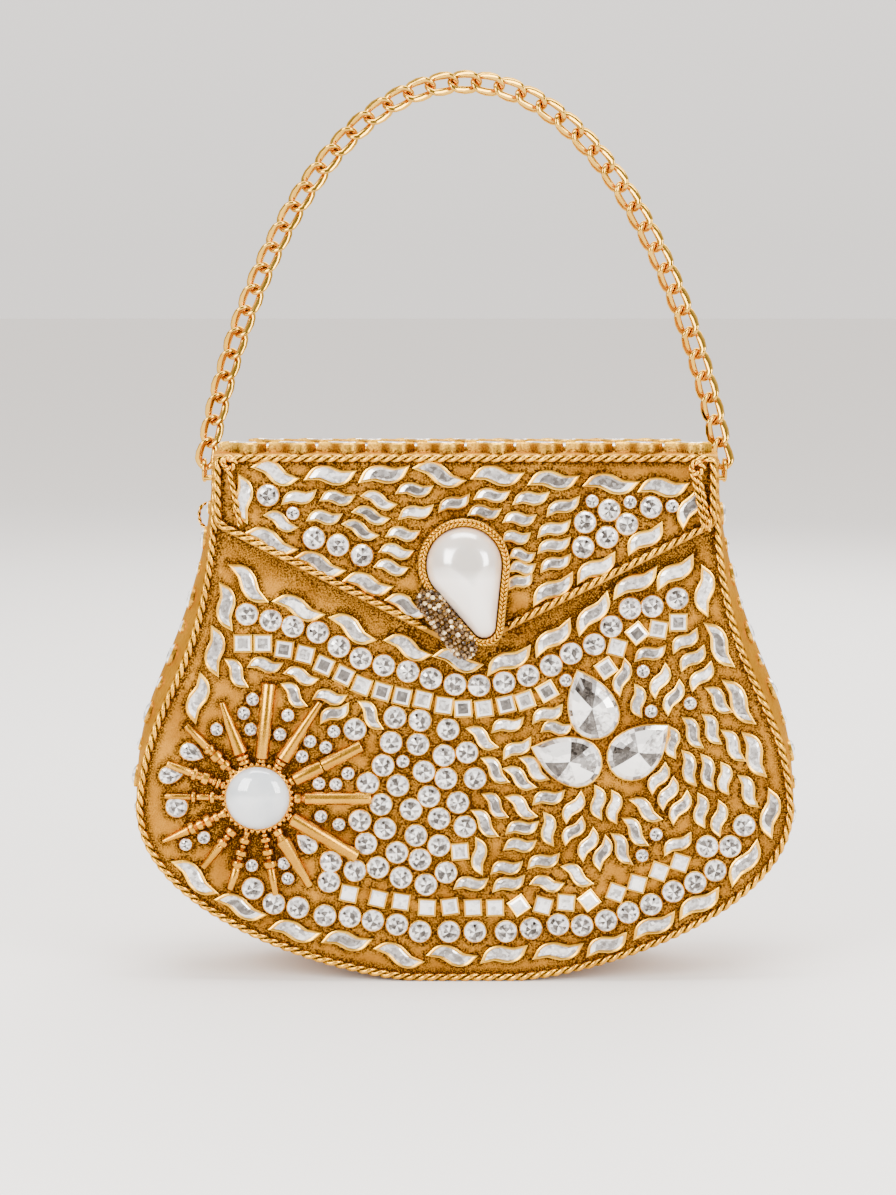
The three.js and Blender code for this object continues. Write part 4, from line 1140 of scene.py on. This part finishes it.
# Painted reflections: each pear's table and crown facets take these light and dark greys in turn round it, from its
# phase.
pear_table = (0.18, 1.2, 0.98, 0.25, 0.85, 1.2, 0.55)
pear_crown = (0.95, 0.6, 1.1, 0.9, 0.45, 1.15, 0.8, 1.0, 0.7)
pear_pieces, pear_stones = [], []
for x, y, tip_x, tip_y, phase in pear_places:
    head, tip = on_front(x, y), on_front(tip_x, tip_y)
    turn = atan2(tip.z - head.z, tip.x - head.x) + pi
    line = drop(pear_radius, pear_length, 9)
    setting = drawn_round("pear_setting", line)
    raise_and_step(setting, pear_height, [(0.965, 0.2), (0.965, -0.2), (0.98, -0.9)], heart=pear_heart)
    sink(setting, pear_sink)
    inner = [((x - pear_heart) * pear_scale + pear_heart, y * pear_scale) for x, y in line]
    stone = cut_stone(
        "pear_stone", inner, pear_height, [(0.86, 1.2), (0.66, 1.1), (0.62, 0.35)], pear_sink, True, pear_heart
    )
    place = Matrix.Translation(head) @ upright @ Matrix.Rotation(turn, 4, "Z")
    tones = []
    for face in stone.data.polygons:
        x, y, z = face.center / MM
        around = atan2(y, x - pear_heart) / (2 * pi) + 0.5 + phase
        if face.normal.z < 0.2:
            tones.append(0.85)
        elif z > table_level:
            tones.append(pear_table[int(around * 7) % 7])
        elif z > crown_level:
            tones.append(pear_table[int(around * 7 + 0.4) % 7] + chance.uniform(-0.1, 0.1))
        else:
            tones.append(pear_crown[int(around * 18) % 9] + chance.uniform(-0.1, 0.1))
    stone.data.attributes["tone"].data.foreach_set("value", tones)
    for piece in (setting, stone):
        piece.data.transform(place)
    pear_pieces.append(setting)
    pear_stones.append(stone)
pear_settings = join("pear_settings", pear_pieces)
pear_settings.data.materials.clear()
pear_settings.data.materials.append(bezel_gold)
smooth(pear_settings, 35)
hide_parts("front_panel")
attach(pear_settings, "shell")
pear_crystals = join("pear_crystals", pear_stones)
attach(pear_crystals, "shell")

# The clasp: a long baroque pearl in a gilt cup with a double rope rim, cut across by a bar paved with tiny
# brown crystals, some painted pale as glints. It hides the magnet under the point of the flap.
clasp_cup = merged_copy("clasp_frame", "clasp_cup", ray_gold, "flap")
pearl_head, pearl_tail = (-0.4, 129.3, 11.4), (5.6, 110.6, 3.6)


def pearl_line(spread, count):
    """The pearl's outline from the front, moved outwards by spread: two arcs with straight flanks between them."""
    (x1, z1, r1), (x2, z2, r2) = pearl_head, pearl_tail
    heading = atan2(z2 - z1, x2 - x1)
    lean = acos((r1 - r2) / hypot(x2 - x1, z2 - z1))
    arcs = [(x1, z1, r1, heading + lean, heading + 2 * pi - lean), (x2, z2, r2, heading - lean, heading + lean)]
    path = []
    for x, z, r, start, end in arcs:
        for i in range(41):
            angle = start + (end - start) * i / 40
            path.append(Vector((x + (r + spread) * cos(angle), z + (r + spread) * sin(angle))))
    return evenly(path + [path[0]], count + 1)[0]


pearl_sides, pearl_rings, pearl_seat, pearl_height, pearl_base = 64, 32, 31.4, 8.6, -0.35
pearl = begin(
    "baroque_pearl", bpy.ops.mesh.primitive_uv_sphere_add, segments=pearl_sides, ring_count=pearl_rings, radius=1
)
rim = pearl_line(0, pearl_sides)
heart = Vector(pearl_head[:2]).lerp(Vector(pearl_tail[:2]), 0.12)
for vertex in pearl.data.vertices:
    x, y, z = vertex.co
    share = hypot(x, y)
    angle = atan2(y, x) % (2 * pi)
    edge = rim[round(angle / (2 * pi) * pearl_sides) % pearl_sides]
    place = heart.lerp(edge, share)
    height = max(z, pearl_base) * pearl_height
    wobble = 0.25 * sin(place.x * 0.5 + 1) * sin(place.y * 0.42)
    vertex.co = Vector((place.x, -pearl_seat - height - wobble * max(z, 0), place.y)) * MM
face_out(pearl, 0.00002)
nacre, nodes, links, shader = finish_with("pearl nacre", (0.9, 0.85, 0.79), 0.22)
where = nodes.new("ShaderNodeTexCoord")
layers = link_noise(nodes, links, 130, 3, where)
apart = nodes.new("ShaderNodeSeparateXYZ")
links.new(where.outputs["Object"], apart.inputs[0])
# Painted shade: above its waist the pearl is painted darker and below it lighter, over the nacre's own cloudy tone.
pearl_waist, waist_sharpness = 0.1285, 260
below_waist = (apart.outputs["Z"], -waist_sharpness, waist_sharpness * pearl_waist)
shoulder = calculate(nodes, links, "MULTIPLY_ADD", *below_waist, clamp=True)
nacre_cloud_and_shade = calculate(nodes, links, "MULTIPLY_ADD", layers.outputs[0], 0.3, shoulder)
nacre_shades = [(0.1, (0.55, 0.505, 0.455)), (0.55, (0.70, 0.655, 0.60)), (1, (0.90, 0.845, 0.78))]
warmth = ramp(nodes, links, nacre_cloud_and_shade, nacre_shades)
# Towards its outline the pearl turns rosy and darker: its own peach tone, with painted shade along the edge.
edge_on = nodes.new("ShaderNodeLayerWeight")
edge_on.inputs["Blend"].default_value = 0.32
rosy = mix(nodes, links, edge_on.outputs["Facing"], warmth.outputs[0], (0.74, 0.46, 0.28, 1))
links.new(rosy, shader.inputs["Base Color"])
set_sockets(shader, Subsurface_Weight=0.25, Subsurface_Radius=(0.003, 0.002, 0.0015), IOR=2.1)
set_sockets(shader, Coat_Weight=1, Coat_IOR=2.3, Coat_Roughness=0.17)
pearl.data.materials.append(nacre)
smooth(pearl, 80)
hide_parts("clasp_pearl")
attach(pearl, "flap")

rims = []
for spread, depth, lay in ((0.75, 33.35, 0.0026), (1.75, 33.0, -0.0026)):
    loop = [Vector((p.x, -depth, p.y)) * MM for p in pearl_line(spread, 160)]
    rims.append(rope("clasp_rim", loop, strand_radius=0.00034, reach=0.0003, lay=lay, sides=6, step=0.0003))
clasp_rims = join("clasp_rims", rims)
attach(clasp_rims, "flap")

bar_middle, bar_lean, bar_half, bar_radius, pitch = Vector((-5.5, -32.0, 111.6)), radians(37), 8.3, 3.75, 1.5
bar_axis = Vector((-sin(bar_lean), 0, cos(bar_lean)))
bar_side = Vector((cos(bar_lean), 0, sin(bar_lean)))
# The darker greys are the chips' own browns; the palest grey and each facet's spread upwards are painted glints.
chip_radii, chip_greys_and_glints = (0.7, 0.85), (0.05, 0.15, 0.25, 0.35, 0.85)
paving = []
rows = round((2 * bar_half + pi * bar_radius) / pitch)
for row in range(rows):
    run = -bar_half - bar_radius * pi / 2 + (row + 0.5) * pitch
    centre, ring = run, bar_radius
    if abs(run) > bar_half:
        bend = (abs(run) - bar_half) / bar_radius
        centre = (bar_half + bar_radius * sin(bend)) * (1 if run > 0 else -1)
        ring = bar_radius * cos(bend)
    count = max(1, round(pi * ring / pitch))
    for spot in range(count + row % 2):
        angle = pi * (spot + (0.0 if row % 2 else 0.5)) / count
        out = bar_side * cos(angle) - Vector((0, 1, 0)) * sin(angle)
        place = bar_middle + bar_axis * centre + out * ring
        radius = chance.uniform(*chip_radii) * MM
        chip = begin("chip", bpy.ops.mesh.primitive_uv_sphere_add, segments=7, ring_count=5, radius=radius)
        chip.data.transform(Matrix.Translation(place * MM) @ Matrix.Rotation(chance.random() * 6, 4, "Y"))
        chip.data.attributes.new("tone", "FLOAT", "FACE")
        base = chance.choice(chip_greys_and_glints)
        tones = [base + chance.uniform(-0.15, 0.25) for _ in chip.data.polygons]
        chip.data.attributes["tone"].data.foreach_set("value", tones)
        paving.append(chip)
paved_bar = join("paved_bar", paving)
chips, nodes, links, shader = finish_with("brown paved crystal", (0.5, 0.4, 0.3), 0.12)
where = nodes.new("ShaderNodeTexCoord")
# Painted glints: a fine noise lightens and darkens the chips' colour in specks.
glitter = link_noise(nodes, links, 1700, 1, where)
darkened = calculate(nodes, links, "ADD", read_attribute(nodes, "tone"), -0.25)
value = calculate(nodes, links, "MULTIPLY_ADD", glitter.outputs[0], 0.5, darkened)
chip_shades = [
    (0.1, (0.03, 0.014, 0.004)), (0.4, (0.18, 0.095, 0.028)), (0.7, (0.46, 0.28, 0.11)), (0.95, (0.92, 0.74, 0.45)),
]
colour_by(nodes, links, shader, value, chip_shades)
set_sockets(shader, Metallic=0.6, Coat_Weight=0.3, Coat_Roughness=0.05)
paved_bar.data.materials.append(chips)
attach(paved_bar, "flap")

# The side rings: on each side a ring of polished wire stands on a short post, which is soldered to the side band on
# a round foot. The chain's end links hang in them.
chain_gold = gilt(
    "polished chain gold", deep=(0.20, 0.09, 0.01), low=(0.54, 0.29, 0.03), high=(0.68, 0.39, 0.055),
    rough=(0.15, 0.3), grain=500, depth=0.000003, speckle=0.6,
)
ring_across, ring_back, ring_height = 82.2, 22.5, 153.4
ring_place, ring_radius, ring_wire, ring_lean = Vector((ring_across, ring_back, ring_height)), 3.2, 1.3, radians(45)
post_wire, foot_profile = 0.9, [(0, 2.0), (0.55, 2.0), (0.8, 1.75), (0.95, 1.1), (1.4, 0.9)]
for side, node in ((-1, "side_ring_left"), (1, "side_ring_right")):
    ring = begin(
        "ring", bpy.ops.mesh.primitive_torus_add, major_radius=ring_radius * MM, minor_radius=ring_wire / 2 * MM,
        major_segments=48, minor_segments=14,
    )
    ring.data.transform(Matrix.Translation(ring_place * MM) @ Matrix.Rotation(pi / 2, 4, "Y"))
    low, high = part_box(node)
    inner = (low[0] if side > 0 else -high[0]) / MM
    foot_y, foot_z = ring_place.y - ring_radius * sin(ring_lean), ring_place.z - ring_radius * cos(ring_lean)
    post = turned_rod("post", foot_profile + [(ring_place.x - inner, post_wire)], 24)
    post.data.transform(Matrix.Translation(Vector((inner, foot_y, foot_z)) * MM) @ Matrix.Rotation(pi / 2, 4, "Y"))
    side_ring = join(node.replace("side_ring", "chain_ring"), [ring, post])
    side_ring.data.materials.clear()
    side_ring.data.materials.append(chain_gold)
    if side < 0:
        side_ring.data.transform(Matrix.Diagonal((-1, 1, 1, 1)))
    face_out(side_ring)
    smooth(side_ring, 45)
    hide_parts(node)
    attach(side_ring, "shell")

# The chain: forty three curb links of polished wire. One link is an oval drawn out of a ring and twisted a
# quarter turn end to end, and each is hung through the one before it along the arch of the handle.
link_count, link_wire, link_width, link_play, link_twist, end_turn = 43, 1.7, 7.5, 0.35, radians(45), radians(14)
arch_steps, arch_top, hook_overlap = 3000, 274.4, 1
arch_left = bezier((-ring_across, 0, ring_height), (-74, 0, 201.4), (-46, 0, arch_top), (0, 0, arch_top), 400)
arch = arch_left + [Vector((-p.x, 0, p.z)) for p in reversed(arch_left)][1:]
arch, arch_length = evenly(arch, arch_steps + 1)
end_hook = ring_radius - (ring_wire + link_wire) / 2 - hook_overlap
link_pitch = (arch_length - 2 * end_hook - link_wire - link_play) / link_count
link_half = (link_pitch + link_wire + link_play) / 2
half_width = (link_width - link_wire) / 2

filed_in, flank_filed_in, broadened, flank_broadened, thickened, flank_thinned = 0.1, 0.3, 1.12, 0.34, 1.12, 0.15
curb_link = begin(
    "curb_link", bpy.ops.mesh.primitive_torus_add, major_radius=half_width * MM, minor_radius=link_wire / 2 * MM,
    major_segments=40, minor_segments=12,
)
for vertex in curb_link.data.vertices:
    x, y, z = vertex.co / MM
    around = hypot(x, y)
    flank = (x / around) ** 2
    wire_middle = half_width - filed_in - flank_filed_in * flank
    filed = wire_middle + (around - half_width) * (broadened + flank_broadened * flank)
    vertex.co = Vector((x * filed / around, y * filed / around, z * (thickened - flank_thinned * flank))) * MM
curb_link.data.transform(Matrix.Rotation(pi / 2, 4, "X"))
bpy.ops.object.mode_set(mode="EDIT")
bpy.ops.mesh.select_mode(type="VERT")
for end in (-1, 1):
    bpy.ops.mesh.select_all(action="DESELECT")
    bpy.ops.object.mode_set(mode="OBJECT")
    for vertex in curb_link.data.vertices:
        vertex.select = vertex.co.z * end > 0.01 * MM
    bpy.ops.object.mode_set(mode="EDIT")
    bpy.ops.transform.translate(value=(0, 0, end * (link_half - half_width) * MM))
bpy.ops.object.mode_set(mode="OBJECT")
for vertex in curb_link.data.vertices:
    twist = link_twist * (vertex.co.z / (link_half * MM))
    vertex.co = Matrix.Rotation(twist, 3, "Z") @ vertex.co
curb_link.data.materials.append(chain_gold)
smooth(curb_link, 80)
for number in range(link_count):
    run = (end_hook + link_half + number * link_pitch) / arch_length * arch_steps
    at = int(run)
    place = arch[at].lerp(arch[at + 1], run - at)
    along = (arch[min(at + 2, arch_steps)] - arch[max(at - 1, 0)]).normalized()
    turn = Matrix.Rotation(atan2(along.x, along.z), 4, "Y")
    if number in (0, link_count - 1):
        turn = turn @ Matrix.Rotation(-end_turn if number else end_turn, 4, "Z")
    link = copied(curb_link)
    link.data.transform(Matrix.Translation(Vector((place.x, ring_back, place.z)) * MM) @ turn)
    link.name = link.data.name = "curb_link_%02d" % (number + 1)
    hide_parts("chain_link_%02d" % (number + 1))
    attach(link, "chain_handle")

# The wire loop on the left side: two thin gilt wires twisted together, bent round and soldered to the side band at
# both ends.
low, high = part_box("side_loop")
loop_path = bezier(
    (high[0] / MM - 0.6, 0, 137.3), (low[0] / MM - 0.3, 0, 136.9), (low[0] / MM - 0.3, 0, 145.1),
    (high[0] / MM - 0.9, 0, 144.7), 40,
)
loop_path = [point * MM for point in loop_path]
wire_loop = rope("wire_loop", loop_path, strand_radius=0.0003, reach=0.00028, lay=0.004, step=0.0003)
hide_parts("side_loop")
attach(wire_loop, "shell")

# The patina and painted shade on the grounds: a brown that is partly patina and partly painted shade, left deepest
# right beside each setting and along the cords, and fading with the distance to them.
# How deep the darkening is beside a raised piece, then painted shade round the sunburst and a painted shadow under the
# flap's edge, each with the distance over which it fades.
fullest_patina_and_shade, burst_painted_shade, burst_fade, flap_painted_shadow, flap_fade = 1.08, 0.62, 42, 0.8, 11


def brush_patina_and_shade(ground, raised, reach, more=None):
    """Fills the ground's patina and painted shade from how near each of its points is to the raised pieces, in
    millimetres.
    """
    spots = [vertex.co.copy() for piece in raised for vertex in piece.data.vertices]
    tree = KDTree(len(spots))
    for i, spot in enumerate(spots):
        tree.insert(Vector((spot.x, 0, spot.z)), i)
    tree.balance()
    patina_and_shade = []
    for vertex in ground.data.vertices:
        near = tree.find(Vector((vertex.co.x, 0, vertex.co.z)))[2] / MM
        left = max(0.0, fullest_patina_and_shade - near / reach)
        if more:
            left += more(vertex.co.x / MM, vertex.co.z / MM)
        patina_and_shade.append(max(0.0, min(1.0, left)))
    write_patina_and_shade(ground, patina_and_shade)


def front_shade(x, z):
    """Painted shade added between the rods of the sunburst, and a painted shadow in a band along the flap's edge."""
    around_burst = max(0.0, burst_painted_shade - dist((x, z), burst_middle) / burst_fade)
    below_flap = (apron_edge(x, 0) - z) / flap_fade
    return around_burst + max(0.0, flap_painted_shadow * (1 - abs(below_flap)))


by_name = bpy.data.objects
brush_patina_and_shade(front_ground, [by_name["front_settings"], sunburst, pear_settings, by_name["front_rope"]], 2.3, front_shade)
brush_patina_and_shade(flap_ground, [by_name["flap_settings"], clasp_rims, paved_bar, flap_rope], 2.3)
brush_patina_and_shade(back_ground, [by_name["back_rope"]], 3.0)
brush_patina_and_shade(clasp_cup, [paved_bar], 4.0)

# The patterns that the copies were made from are put away.
for pattern in [piece for pair in shapes.values() for piece in pair] + [curb_link]:
    bpy.data.objects.remove(pattern)
